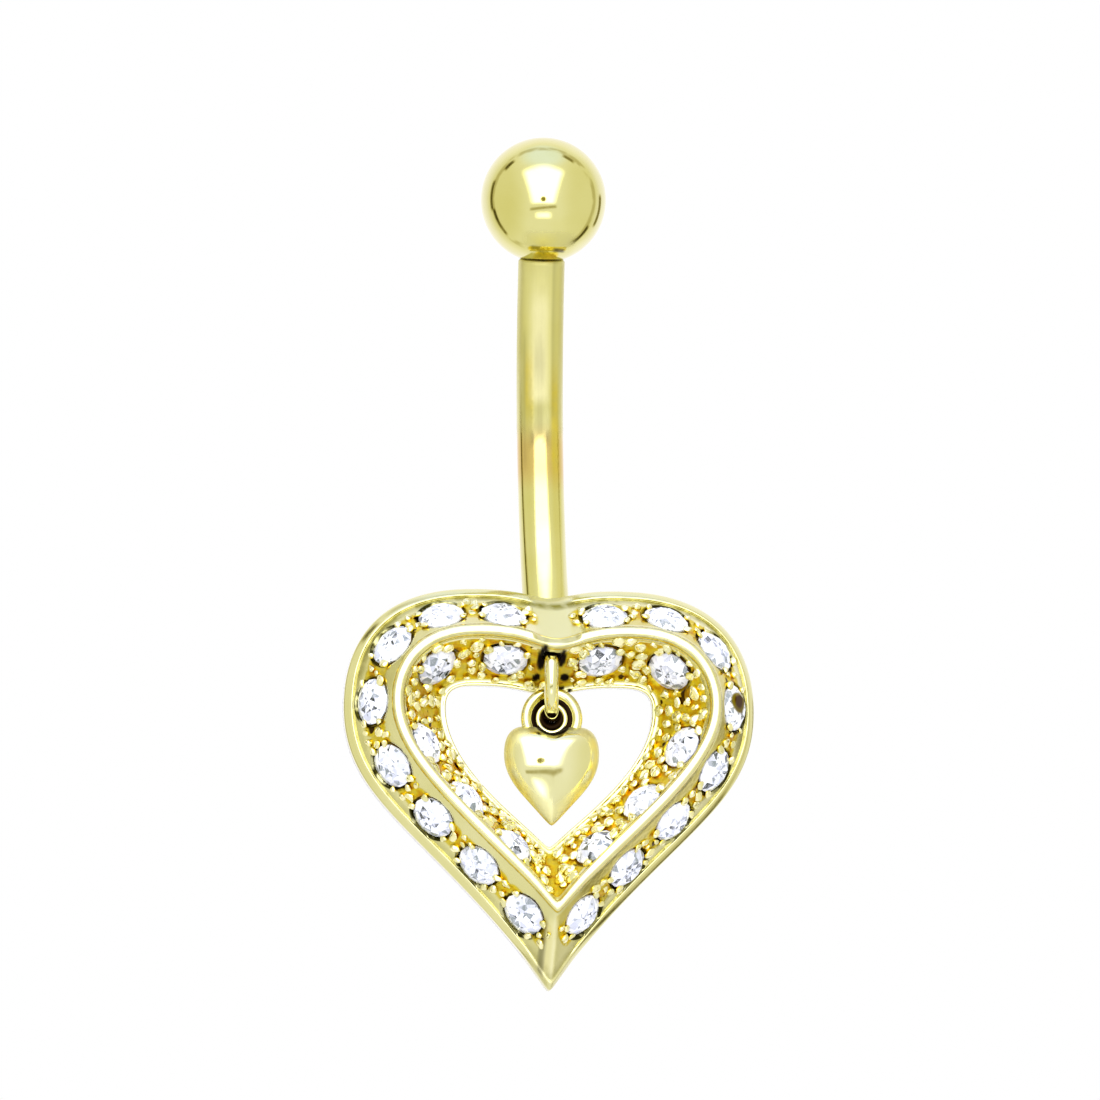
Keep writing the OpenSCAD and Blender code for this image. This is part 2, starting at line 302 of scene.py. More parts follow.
@dataclass(frozen=True)
class PolishedGold:
    """Yellow gold with a hand polish, with painted shade that is mustard to brown in recesses and nearly
    black in deep shade, and painted highlights in cream.
    """

    name: str
    body: Colour = (0.71, 0.66, 0.235)
    pale: Colour = (0.78, 0.74, 0.34)
    straw: Colour = (0.68, 0.56, 0.09)
    mustard: Colour = (0.8, 0.62, 0.025)
    amber: Colour = (0.64, 0.34, 0.01)
    brown: Colour = (0.06, 0.028, 0.002)
    shadow: Colour = (0.010, 0.005, 0.002)
    reflected_rosy: Colour = (0.68, 0.45, 0.12)
    highlight_cream: Colour = (0.96, 0.9, 0.5)
    seat_shadow_olive: Colour = (0.03, 0.027, 0.003)
    olive_shade_colour: Colour = (0.27, 0.24, 0.012)
    roughness: float = 0.07
    satin_roughness: float = 0.36
    hairline_roughness: float = 0.05
    recess_roughness: float = 0.2
    cloud_scale: float = 420.0
    cloud_share: float = 0.6
    patch_scale: float = 2300.0
    speck_scale: float = 2600.0
    grit_scale: float = 4600.0
    grit_height: float = 4.5e-5
    wave_scale: float = 1500.0
    wave_height: float = 2.5e-6
    hairline_scale: float = 9000.0
    hairline_stretch: tuple[float, float, float] = (1.0, 1.0, 0.08)

    def material(self) -> Material:
        """Builds the node material.

        Returns:
            The material.
        """
        made, graph, place = new_material(self.name)
        cloud = noise(graph, place, self.cloud_scale, 3.0)
        patch = noise(graph, place, self.patch_scale, 2.0)
        grit = noise(graph, place, self.grit_scale, 1.0)
        wave = noise(graph, place, self.wave_scale, 1.0)
        drawn = graph.term("ShaderNodeMapping", None, {"Vector": place, "Scale": self.hairline_stretch})
        hairline = noise(graph, drawn, self.hairline_scale, 2.0)
        recess, shade, satin, warm, bright, tarnish, edge, outward = read_values(
            graph, "recess", "shade", "satin", "warm", "bright", "tarnish", "edge", "outward"
        )
        tone = blend(graph, cloud.step(0.35, 0.7) * self.cloud_share, self.body, self.pale)
        # Painted reflection: a rosy tint where a piece marks a warm reflection.
        tone = blend(graph, warm, tone, self.reflected_rosy)
        # Painted shade: where a piece marks a recess or a shadowed place, the gold turns straw, mustard,
        # amber and brown, with brown specks in the darkest parts.
        stops = [(0.0, self.straw), (0.35, self.mustard), (0.72, self.amber), (0.98, self.brown)]
        depth = recess * (0.05 + 0.95 * patch.step(0.25, 0.75))
        deep = graph.term("ShaderNodeValToRGB", {"stops": stops}, {0: depth})
        colour = blend(graph, recess.step(0.02, 0.35), tone, deep)
        speck = noise(graph, place, self.speck_scale, 1.0).step(0.67, 0.71)
        colour = blend(graph, speck * recess.step(0.6, 0.8), colour, self.brown)
        # Painted highlight: a cream tint where a piece marks highlights, so bright reflections turn cream
        # instead of deep yellow.
        colour = blend(graph, bright, colour, self.highlight_cream)
        # Painted shade: an olive tone that darkens and dulls lines and bands of the gold.
        colour = blend(graph, tarnish * (0.55 + 0.45 * patch.step(0.4, 0.58)), colour, self.olive_shade_colour)
        # Painted shadow: olive-dark arcs at the stone seats, on the side of each stone towards the rim.
        outline = edge.within(0.96, 1.2, 0.03) * outward.step(-0.3, 0.5)
        outline = outline * (0.25 + 0.75 * patch.step(0.36, 0.56))
        colour = blend(graph, outline, colour, self.seat_shadow_olive)
        colour = blend(graph, shade, colour, self.shadow)
        rough = self.roughness + self.hairline_roughness * hairline.step(0.4, 0.8)
        rough = rough + self.satin_roughness * satin
        rough = rough + self.recess_roughness * recess + self.recess_roughness * shade
        height = wave * self.wave_height + grit * recess * self.grit_height
        bump = graph.term("ShaderNodeBump", None, {"Strength": 1.0, "Distance": 1.0, "Height": height})
        end_material(graph, {"Base Color": colour, "Metallic": 1.0, "Roughness": rough, "Normal": bump})
        return made


@dataclass(frozen=True)
class CutStone:
    """Clear round stone: its facets carry painted reflections, white, grey or dark, each in its own way."""

    name: str
    white: Colour = (0.93, 0.94, 0.97)
    mist: Colour = (0.62, 0.64, 0.71)
    grey: Colour = (0.22, 0.25, 0.25)
    dark: Colour = (0.012, 0.018, 0.014)
    rust: Colour = (0.075, 0.022, 0.001)
    straw: Colour = (0.24, 0.18, 0.008)
    shadow_moss: Colour = (0.4, 0.4, 0.25)
    shard_scale: float = 2700.0
    haze_scale: float = 3600.0
    fleck_scale: float = 5200.0
    roughness: float = 0.04
    haze_roughness: float = 0.05
    refraction: float = 1.6

    def material(self) -> Material:
        """Builds the node material.

        Returns:
            The material.
        """
        made, graph, place = new_material(self.name)
        facet, stone, reach, blot, shadow = read_values(graph, "facet", "stone", "reach", "blot", "shadow")
        sockets = {"Vector": place, "Scale": self.shard_scale}
        shard = graph.term("ShaderNodeTexVoronoi", None, sockets, output="Color")
        part = graph.term("ShaderNodeSeparateColor", None, {0: shard})
        key = graph.term("ShaderNodeCombineXYZ", None, {0: facet * 37.0, 1: stone * 91.0, 2: part * 23.0})
        # Painted reflection: each facet takes white, grey or dark by chance, standing in for what it
        # reflects; the haze and fleck masks below add mist and grey patches.
        facet_reflection = graph.term("ShaderNodeTexWhiteNoise", {"noise_dimensions": "3D"}, {"Vector": key}) * reach
        stops = [(0.0, self.white), (0.6, self.mist), (0.78, self.grey), (0.88, self.dark)]
        colour = graph.term("ShaderNodeValToRGB", {"ramp_mode": "CONSTANT", "stops": stops}, {0: facet_reflection})
        haze = noise(graph, place, self.haze_scale, 2.0)
        fleck = noise(graph, place, self.fleck_scale, 1.0)
        tinted = blend(graph, haze.step(0.5, 0.66) * 0.55, colour, self.mist)
        tinted = blend(graph, fleck.step(0.66, 0.7) * 0.85, tinted, self.grey)
        # Painted shadow: a grey-green border on the rim side of the outer stones.
        tinted = blend(graph, shadow * 0.85, tinted, self.shadow_moss)
        tinted = blend(graph, blot.step(0.05, 0.35), tinted, self.straw)
        tinted = blend(graph, blot.step(0.4, 0.75), tinted, self.rust)
        rough = self.roughness + self.haze_roughness * haze
        metal = blot.step(0.1, 0.3)
        end_material(
            graph, {"Base Color": tinted, "Metallic": metal, "Roughness": rough, "IOR": self.refraction}
        )
        return made


@dataclass(frozen=True)
class PaleFloor:
    """Plain matt floor."""

    name: str = "pale_floor"
    colour: Colour = (0.86, 0.86, 0.87)
    grain_colour: Colour = (0.82, 0.82, 0.84)
    grain_scale: float = 60.0
    roughness: float = 0.8

    def material(self) -> Material:
        """Builds the node material.

        Returns:
            The material.
        """
        made, graph, place = new_material(self.name)
        grain = noise(graph, place, self.grain_scale, 2.0)
        colour = blend(graph, grain * 0.1, self.colour, self.grain_colour)
        end_material(graph, {"Base Color": colour, "Roughness": self.roughness})
        return made


# Meshes


def add_object(name: str, data: Mesh | Camera) -> Object:
    """Puts a new object into the scene.

    Args:
        name: Its name.
        data: Its mesh or camera.

    Returns:
        The object, at the origin.
    """
    made = bpy.data.objects.new(name, data)
    bpy.context.scene.collection.objects.link(made)
    return made


def mesh_object(
    name: str,
    points: Iterable[Sequence[float]],
    faces: Iterable[Sequence[int]],
    material: Material | None = None,
    smooth: bool = True,
) -> Object:
    """Makes an object from points in millimetres.

    Args:
        name: Name of the piece.
        points: The corners, in millimetres in the part's frame.
        faces: The faces, by corner number, turned outwards.
        material: The finish.
        smooth: True for smooth shading.

    Returns:
        The new object, at the origin and linked to the scene.
    """
    mesh = bpy.data.meshes.new(name)
    mesh.from_pydata([[c * MM for c in p] for p in points], [], [list(f) for f in faces])
    if material is not None:
        mesh.materials.append(material)
    for polygon in mesh.polygons:
        polygon.use_smooth = smooth
    mesh.validate()
    return add_object(name, mesh)


def add_values(mesh: Mesh, name: str, kind: str, domain: str, values: Sequence[float]) -> None:
    """Stores a named attribute.

    Args:
        mesh: The mesh.
        name: Name of the attribute.
        kind: "FLOAT" or "FLOAT_VECTOR".
        domain: "POINT" or "FACE".
        values: All values in one row.
    """
    made = mesh.attributes.new(name, kind, domain)
    made.data.foreach_set("vector" if kind == "FLOAT_VECTOR" else "value", values)


def paint(piece: Object, rule: Callable[[np.ndarray], dict[str, np.ndarray]]) -> None:
    """Stores values on each point of a piece, worked out from where the point lies.

    Args:
        piece: The piece.
        rule: Gives the values by name for points in millimetres, one a row.
    """
    places = np.empty(3 * len(piece.data.vertices))
    piece.data.vertices.foreach_get("co", places)
    for name, values in rule(places.reshape(-1, 3) / MM).items():
        add_values(piece.data, name, "FLOAT", "POINT", values.tolist())


def ring_faces(rings: int, count: int, closed: bool) -> list[tuple[int, int, int, int]]:
    """Quads between rings of points.

    Args:
        rings: Number of rings.
        count: Number of points in each ring.
        closed: True if the last ring joins the first one.

    Returns:
        The faces.
    """
    faces = []
    for r in range(rings if closed else rings - 1):
        a, b = r * count, (r + 1) % rings * count
        for i in range(count):
            j = (i + 1) % count
            faces.append((a + i, a + j, b + j, b + i))
    return faces


def turn_outwards(piece: Object) -> None:
    """Merges doubles and makes every face of a closed piece point outwards.

    Args:
        piece: The piece.
    """
    work = bmesh.new()
    work.from_mesh(piece.data)
    bmesh.ops.remove_doubles(work, verts=work.verts, dist=1e-8)
    bmesh.ops.recalc_face_normals(work, faces=work.faces)
    work.to_mesh(piece.data)
    work.free()


def tube(
    name: str,
    path: Sequence[Vector],
    radii: Sequence[float],
    material: Material,
    closed: bool = False,
    sides: int = 32,
) -> Object:
    """Sweeps a circle along a path.

    Args:
        name: Name of the piece.
        path: Centre points in millimetres.
        radii: Radius at each point.
        material: The finish.
        closed: True for a ring.
        sides: Number of sides.

    Returns:
        The tube.
    """
    count = len(path)
    points: list[Vector] = []
    side = None
    for i, here in enumerate(path):
        ahead = path[(i + 1) % count] if closed or i < count - 1 else here
        behind = path[i - 1] if closed or i else here
        along = (ahead - behind).normalized()
        if side is None:
            side = along.orthogonal()
        side = (side - along * side.dot(along)).normalized()
        up = along.cross(side)
        for k in range(sides):
            a = 2 * math.pi * k / sides
            points.append(here + radii[i] * (math.cos(a) * side + math.sin(a) * up))
    faces: list[Sequence[int]] = list(ring_faces(count, sides, closed))
    if not closed:
        faces.append(range(sides - 1, -1, -1))
        faces.append(range((count - 1) * sides, count * sides))
    made = mesh_object(name, points, faces, material)
    turn_outwards(made)
    return made


def circle_path(centre: Vector, radius: float, first: Vector, second: Vector, count: int) -> list[Vector]:
    """Points of a circle.

    Args:
        centre: Its centre.
        radius: Its radius.
        first: Unit vector to the first point.
        second: Unit vector at a right angle to the first.
        count: Number of points.

    Returns:
        The points.
    """
    turns = (2 * math.pi * i / count for i in range(count))
    return [centre + radius * (math.cos(a) * first + math.sin(a) * second) for a in turns]


def lathe(
    name: str,
    profile: Sequence[tuple[float, float]],
    frame: Matrix,
    material: Material,
    sides: int = 128,
) -> Object:
    """Turns a closed profile about the Z axis of a frame.

    Args:
        name: Name of the piece.
        profile: Radius and height of each point; the first and the last lie on the axis.
        frame: Place and direction of the axis, in millimetres.
        material: The finish.
        sides: Number of sides.

    Returns:
        The turned piece.
    """
    points = []
    for radius, height in profile:
        for k in range(sides):
            a = 2 * math.pi * k / sides
            points.append(frame @ Vector((radius * math.cos(a), radius * math.sin(a), height)))
    made = mesh_object(name, points, ring_faces(len(profile), sides, False), material)
    turn_outwards(made)
    return made


def join(pieces: Sequence[Object]) -> Object:
    """Joins the meshes of some pieces into the first one.

    Args:
        pieces: The pieces; all but the first are removed.

    Returns:
        The first piece.
    """
    work = bmesh.new()
    for piece in pieces:
        work.from_mesh(piece.data)
    work.to_mesh(pieces[0].data)
    work.free()
    for piece in pieces[1:]:
        bpy.data.objects.remove(piece)
    return pieces[0]


def smooth_step(low: float, high: float, value: np.ndarray) -> np.ndarray:
    """Smooth step from 0 at low to 1 at high, for a field of values."""
    t = np.clip((value - low) / (high - low), 0.0, 1.0)
    return t * t * (3 - 2 * t)


def smooth_fall(low: float, high: float, value: np.ndarray) -> np.ndarray:
    """Smooth fall from 1 at low to 0 at high, for a field of values."""
    return 1 - smooth_step(low, high, value)


def near(value: np.ndarray, middle: float | np.ndarray, inner: float, outer: float) -> np.ndarray:
    """Mask that is 1 within inner of a middle value and falls to 0 at outer."""
    return smooth_fall(inner, outer, abs(value - middle))


# Outlines


@dataclass(frozen=True)
class HeartOutline:
    """Right half of a heart outline in its own plane; heights are above the outer notch."""

    half_w: float
    widest: float
    lobe_x: float
    top: float
    notch: float
    tip: float
    top_round: float
    side_round: float
    side_reach: float
    tip_reach: float
    tip_angle: float
    tip_radius: float
    notch_radius: float
    lobe_reach: float = 0.45
    lobe_drop: float = 0.15
    lobe_round: float = 0.6
    tip_fade: float = 9.0

    @staticmethod
    def _curve(corners: Sequence[Sequence[float]], t: np.ndarray) -> np.ndarray:
        """Points of a cubic curve.

        Args:
            corners: Its four control points.
            t: Shares of the way along.

        Returns:
            One point a row.
        """
        t = np.clip(t, 0.0, 1.0)
        weights = np.stack([(1 - t) ** 3, 3 * t * (1 - t) ** 2, 3 * t * t * (1 - t), t**3], axis=-1)
        return weights @ np.array(corners, dtype=float)

    def points(self, stations: np.ndarray) -> np.ndarray:
        """Points of the outline.

        Args:
            stations: Stations from 0 at the notch to 1 at the tip.

        Returns:
            One row of x and height for each station.
        """
        rise = self.top - self.notch
        reach = self.widest - self.tip
        over = self.lobe_x + self.top_round * (self.half_w - self.lobe_x)
        beside = self.widest + self.side_round * (self.top - self.widest)
        half_tip = math.radians(self.tip_angle)
        straight = self.tip_reach * reach
        crown, flank = (self.lobe_x, self.top), (self.half_w, self.widest)
        corners = [(0, self.notch), (self.lobe_reach * self.lobe_x, self.top - self.lobe_drop * rise)]
        corners += [(self.lobe_round * self.lobe_x, self.top), crown]
        lobe = self._curve(corners, stations / LOBE_STATION)
        corners = [crown, (over, self.top), (self.half_w, beside), flank]
        side = self._curve(corners, (stations - LOBE_STATION) / (SIDE_STATION - LOBE_STATION))
        corners = [flank, (self.half_w, self.widest - self.side_reach * reach)]
        corners += [(straight * math.sin(half_tip), self.tip + straight * math.cos(half_tip)), (0, self.tip)]
        tip = self._curve(corners, (stations - SIDE_STATION) / (1 - SIDE_STATION))
        lobe[:, 1] += self._softened(lobe[:, 0], self.notch_radius) * rise / (0.5 * self.lobe_x)
        fall = np.clip(1 - tip[:, 0] / (self.tip_fade * self.tip_radius), 0.0, 1.0) ** 2
        lift = self._softened(tip[:, 0], self.tip_radius) - self.tip_radius * fall
        tip[:, 1] += lift / math.tan(half_tip)
        on_lobe = (stations < LOBE_STATION)[:, None]
        on_side = (stations < SIDE_STATION)[:, None]
        return np.where(on_lobe, lobe, np.where(on_side, side, tip))

    @staticmethod
    def _softened(x: np.ndarray, radius: float) -> np.ndarray:
        """How far a corner's two straight sides are lifted to round it."""
        return np.hypot(x, radius) - x


def split_stations(lobe: int, side: int, tip: int) -> np.ndarray:
    """Stations of half an outline, both ends included.

    Args:
        lobe: Steps from the notch to the lobe's top.
        side: Steps from the lobe's top to the widest point.
        tip: Steps from the widest point to the tip.

    Returns:
        The stations.
    """
    return np.concatenate(
        [
            np.linspace(0, LOBE_STATION, lobe, endpoint=False),
            np.linspace(LOBE_STATION, SIDE_STATION, side, endpoint=False),
            np.linspace(SIDE_STATION, 1, tip + 1),
        ]
    )


# Post and ball


@dataclass(frozen=True)
class PostAxis:
    """The curve of the post, which the ball and the heart take their places from."""

    radius: float = 0.8
    length: float = 12.2
    curve_r: float = 20.0
    lean: float = 5.0
    tail: float = 1.3
    behind: float = 0.5

    @property
    def half_angle(self) -> float:
        """Half the angle that the post spans, in radians."""
        return math.asin(self.length / 2 / self.curve_r)

    @property
    def bow(self) -> float:
        """How far the ends stand in front of the middle."""
        return self.curve_r * (1 - math.cos(self.half_angle))

    @property
    def notch_z(self) -> float:
        """Height of the notch in the large heart's top edge."""
        lean = math.radians(self.lean)
        return -self.length / 2 * math.cos(lean) + self.bow * math.sin(lean)

    @property
    def heart_back_y(self) -> float:
        """Place of the large heart's flat back."""
        lean = math.radians(self.lean)
        return -self.bow * math.cos(lean) - self.length / 2 * math.sin(lean) - self.behind

    def frame(self, angle: float) -> Matrix:
        """Place on the curve, with Z along the post and X across it.

        Args:
            angle: Angle from the post's middle, in radians.

        Returns:
            The place, in millimetres.
        """
        return (
            Matrix.Rotation(-math.radians(self.lean), 4, "X")
            @ Matrix.Translation((0, -self.curve_r, 0))
            @ Matrix.Rotation(angle, 4, "X")
            @ Matrix.Translation((0, self.curve_r, 0))
        )


class Streak(NamedTuple):
    """An upright streak painted on the post: its middle in X, where it fades, and its strength along Z; the
    streaks are painted reflections and painted shade.
    """

    middle: float
    inner: float
    outer: float
    heights: tuple[float, ...]
    strengths: tuple[float, ...]

    def strength(self, places: np.ndarray) -> np.ndarray:
        """Strength of the streak at points in millimetres, one a row."""
        across = near(places[:, 0], self.middle, self.inner, self.outer)
        return across * np.interp(places[:, 2], self.heights, self.strengths)


@dataclass
class Post:
    """Curved post with a threaded end, soldered behind the heart."""

    axis: PostAxis
    gold: Material
    thread_r: float = 0.6
    thread_len: float = 1.6
    thread_pitch: float = 0.3
    thread_depth: float = 0.06
    thread_sides: int = 48
    rings: int = 96
    edge: float = 0.08
    rounding: tuple[tuple[float, float], ...] = ((0.0, 0.55), (0.12, 0.8), (0.35, 0.95), (1.0, 1.0))
    solder: tuple[float, float, float] = (1.0, 0.34, 0.72)
    solder_sink: float = 0.1
    solder_drop: float = 0.62
    # Straw streaks of painted reflection, and the painted shade that dims the middle of the front.
    straw: tuple[Streak, ...] = (
        Streak(-0.45, 0.08, 0.25, (-0.2, 1.2, 2.3, 3.4), (0.06, 0.24, 0.24, 0.04)),
        Streak(0.42, 0.08, 0.25, (-2.2, -0.8, 1.5, 3.4), (0.1, 0.26, 0.24, 0.0)),
    )
    dimming_shade: Streak = Streak(
        -0.11, 0.05, 0.45, (0.9, 1.4, 2.4, 3.0, 3.6, 4.6, 5.4), (0.67, 0.57, 0.57, 0.52, 0.46, 0.41, 0.36)
    )

    def build(self) -> list[Object]:
        """Makes the post, its thread and its solder.

        Returns:
            The pieces.
        """
        low = -self.axis.half_angle - self.axis.tail / self.axis.curve_r
        high = self.axis.half_angle
        path, radii = [], []
        for share, size in self.rounding:
            path.append(self.axis.frame(low + share * self.edge * 3 / self.axis.curve_r).translation)
            radii.append(self.axis.radius * size)
        start = low + self.edge * 4 / self.axis.curve_r
        stop = high - self.edge / self.axis.curve_r
        for i in range(self.rings):
            path.append(self.axis.frame(start + (stop - start) * i / (self.rings - 1)).translation)
            radii.append(self.axis.radius)
        path.append(self.axis.frame(high).translation)
        radii.append(self.axis.radius - self.edge)
        post = tube("post", path, radii, self.gold, sides=48)
        paint(post, self._marks)
        return [post, self._thread(), self._solder()]

    def _solder(self) -> Object:
        """Makes the rounded run of solder between the post's lower end and the heart's back.

        Returns:
            The solder.
        """
        spread, rise, length = self.solder
        place = Vector((0, self.axis.heart_back_y + self.solder_sink, self.axis.notch_z - self.solder_drop))
        turns = (math.pi * (i / 24 - 0.5) for i in range(25))
        profile = [(max(math.cos(a), 0.0), math.sin(a)) for a in turns]
        frame = Matrix.Translation(place) @ Matrix.Diagonal((spread, rise, length, 1.0))
        return lathe("solder_run", profile, frame, self.gold, sides=48)

    def _marks(self, places: np.ndarray) -> dict[str, np.ndarray]:
        """Painted light on the post: a front dimmed by painted shade and paler with a painted highlight,
        straw streaks and two faint dark lines of painted reflection, a rosy painted reflection low down and
        painted shade at the collar.

        Args:
            places: Points in millimetres, one a row.

        Returns:
            What the finish reads at each point, from 0 to 1.
        """
        x, y, z = places.T
        middle = self.dimming_shade.middle
        top = self.axis.frame(self.axis.half_angle).translation.z
        # Painted shade at the collar under the ball.
        collar = 0.5 * smooth_step(top - 0.2, top - 0.08, z) * near(x, 0.0, 0.25, 0.6)
        # Pale painted highlight down the middle of the front.
        pale = near(x, middle, 0.1, 0.5) * smooth_step(0.9, 1.4, z) * smooth_fall(4.2, 5.4, z)
        # Two faint dark lines of painted reflection, and painted shade that dims the middle of the front.
        right = near(x, 0.36, 0.03, 0.11) * smooth_step(0.2, 0.9, z)
        left = near(x, -0.6, 0.03, 0.09) * smooth_step(-1.6, -0.8, z) * smooth_fall(3.0, 4.0, z)
        start = smooth_step(-0.2, 0.05, z + 1.2 * abs(x - middle))
        shade = np.maximum(0.2 * np.maximum(right, left), start * self.dimming_shade.strength(places))
        return {
            "satin": 0.55 * smooth_step(-0.1, 0.25, z) + 0.45 * smooth_step(0.6, 3.0, z),
            # Rosy painted reflection low on the post.
            "warm": 0.7 * smooth_step(-2.2, -1.1, z) * smooth_fall(-0.5, 0.6, z),
            # The collar's painted shade and the straw streaks of painted reflection.
            "recess": np.maximum.reduce([collar, *(streak.strength(places) for streak in self.straw)]),
            "bright": 0.6 * pale,
            "shade": shade * (y < 0),
        }

    def _thread(self) -> Object:
        """Makes the threaded end: a core with a thread wound round it by a node tree.

        Returns:
            The threaded end.
        """
        end = self.axis.frame(self.axis.half_angle)
        core_r = self.thread_r - self.thread_depth
        profile = [(0, -0.05), (core_r, -0.05), (core_r, self.thread_len - 0.12)]
        profile += [(core_r - 0.1, self.thread_len), (0, self.thread_len)]
        core = lathe("thread", profile, end, self.gold, self.thread_sides)
        winding = add_object("winding", bpy.data.meshes.new("winding"))
        tree = thread_tree(self.gold)
        turns = (self.thread_len - 0.25) / self.thread_pitch
        values = {"Turns": turns, "Height": turns * self.thread_pitch * MM}
        values |= {"Radius": core_r * MM, "Wire": self.thread_depth * MM}
        made = plain_mesh_from(winding, tree, values)
        place = Matrix.Translation(end.translation * MM) @ end.to_3x3().to_4x4()
        made.transform(place @ Matrix.Translation((0, 0, 0.08 * MM)))
        winding.data = made
        return join([core, winding])


def new_tree(name: str, inputs: dict[str, str]) -> tuple[NodeTree, Graph, NodeOutputs]:
    """Makes an empty geometry tree that takes and gives a geometry.

    Args:
        name: Name of the tree.
        inputs: Kind of each further input, by name.

    Returns:
        The tree, its graph and the sockets of its inputs.
    """
    tree = bpy.data.node_groups.new(name, "GeometryNodeTree")
    for label, kind in {"Geometry": "Geometry", **inputs}.items():
        tree.interface.new_socket(label, in_out="INPUT", socket_type=f"NodeSocket{kind}")
    tree.interface.new_socket("Geometry", in_out="OUTPUT", socket_type="NodeSocketGeometry")
    graph = Graph(tree)
    return tree, graph, graph.node("NodeGroupInput").outputs


def thread_tree(gold: Material) -> NodeTree:
    """Node tree that winds a thread of round section along Z.

    Args:
        gold: The finish.

    Returns:
        The tree, with the inputs Turns, Height, Radius and Wire.
    """
    inputs = dict.fromkeys(("Turns", "Height", "Radius", "Wire"), "Float")
    tree, graph, given = new_tree("thread_winding", inputs)
    sockets = {"Resolution": 36, "Rotations": given["Turns"], "Height": given["Height"]}
    sockets |= {"Start Radius": given["Radius"], "End Radius": given["Radius"]}
    spiral = graph.term("GeometryNodeCurveSpiral", None, sockets)
    sockets = {"Resolution": 8, "Radius": given["Wire"]}
    section = graph.term("GeometryNodeCurvePrimitiveCircle", None, sockets)
    sockets = {"Curve": spiral, "Profile Curve": section, "Fill Caps": True}
    finish_tree(graph, graph.term("GeometryNodeCurveToMesh", None, sockets), gold)
    return tree


def finish_tree(graph: Graph, shape: Term, material: Material, smooth: bool = True) -> None:
    """Ends a geometry tree: plain mesh, shading, material and output.

    Args:
        graph: The tree's graph.
        shape: The geometry so far.
        material: The finish.
        smooth: True for smooth shading.
    """
    real = graph.term("GeometryNodeRealizeInstances", None, {0: shape})
    shaded = graph.term("GeometryNodeSetShadeSmooth", None, {0: real, "Shade Smooth": smooth})
    dressed = graph.term("GeometryNodeSetMaterial", None, {0: shaded, "Material": material})
    graph.node("NodeGroupOutput", None, {0: dressed})


def plain_mesh_from(
    carrier: Object, tree: NodeTree, values: dict[str, float | Object]
) -> Mesh:
    """Runs a geometry tree on an object and takes the result as a plain mesh.

    Args:
        carrier: The object that the tree works on; its modifier is removed again.
        tree: The geometry tree.
        values: The tree's inputs by name.

    Returns:
        The mesh.
    """
    modifier = carrier.modifiers.new("nodes", "NODES")
    modifier.node_group = tree
    for item in tree.interface.items_tree:
        if item.in_out == "INPUT" and item.name in values:
            modifier[item.identifier] = values[item.name]
    carrier.update_tag()
    evaluated = carrier.evaluated_get(bpy.context.evaluated_depsgraph_get())
    made = bpy.data.meshes.new_from_object(evaluated)
    carrier.modifiers.remove(modifier)
    return made


@dataclass
class Ball:
    """Polished ball with a blind hole for the post's thread and a flat seat for the post."""

    axis: PostAxis
    gold: Material
    radius: float = 2.175
    thread_r: float = 0.6
    thread_len: float = 1.6
    gap: float = 0.05
    bore_tip: float = 0.15
    chamfer: float = 0.06
    steps: int = 144

    def build(self) -> list[Object]:
        """Makes the ball.

        Returns:
            The pieces.
        """
        seat_r = self.axis.radius + self.gap
        rim_z = -math.sqrt(self.radius**2 - seat_r**2)
        seat_z = rim_z + self.gap / 2
        bore_r = self.thread_r + self.gap
        bore_top = seat_z + self.thread_len + 2 * self.gap
        low = math.asin(rim_z / self.radius)
        profile = [(0.0, bore_top), (bore_r, bore_top - self.bore_tip), (bore_r, seat_z + self.chamfer)]
        profile += [(bore_r + self.chamfer, seat_z), (seat_r - 0.03, seat_z), (seat_r, rim_z)]
        for i in range(1, self.steps + 1):
            a = low + (math.pi / 2 - low) * i / self.steps
            profile.append((self.radius * math.cos(a), self.radius * math.sin(a)))
        seat_depth = self.radius + seat_z
        frame = self.axis.frame(self.axis.half_angle) @ Matrix.Translation(
            (0, 0, self.radius - seat_depth + self.gap)
        )
        ball = lathe("polished_ball", profile, frame, self.gold)
        inverse = np.array(frame.inverted())
        paint(ball, lambda p: self._marks(p @ inverse[:3, :3].T + inverse[:3, 3]))
        return [ball]

    @staticmethod
    def _marks(places: np.ndarray) -> dict[str, np.ndarray]:
        """Painted reflections low on the ball: a deeper tone at the seat, a golden line and two short dark
        lines; and duller polish.

        Args:
            places: Points in the ball's own frame, one a row.

        Returns:
            What the finish reads at each point, from 0 to 1.
        """
        x, _, z = places.T
        # Painted reflections of the post and the heart in the ball.
        patch = 0.5 * near(x, 0.0, 0.3, 0.5) * smooth_fall(-1.8, -1.62, z)
        golden = near(z, -1.6, 0.03, 0.11) * near(x, 0.0, 0.55, 0.72)
        dark = near(z, -1.61 - 0.1 * x, 0.03, 0.1)
        rubbed = smooth_step(-1.6, -1.45, z) * smooth_fall(-1.1, -0.85, z)
        return {
            "recess": np.maximum(patch, 0.62 * golden),
            "shade": dark * np.maximum(0.55 * near(x, -0.42, 0.1, 0.22), 0.8 * near(x, 0.4, 0.14, 0.26)),
            "satin": 0.8 * rubbed * near(x, 0.0, 0.6, 1.1),
        }


# Large heart


@dataclass(frozen=True)
class StoneSpot:
    """One stone on the right half: station along the outline and signed share of its band."""

    station: float
    share: float


class ShadeSpot(NamedTuple):
    """A spot of painted shade beside the link: its place in X and Z and half its size."""

    x: float
    z: float
    half_w: float
    half_h: float


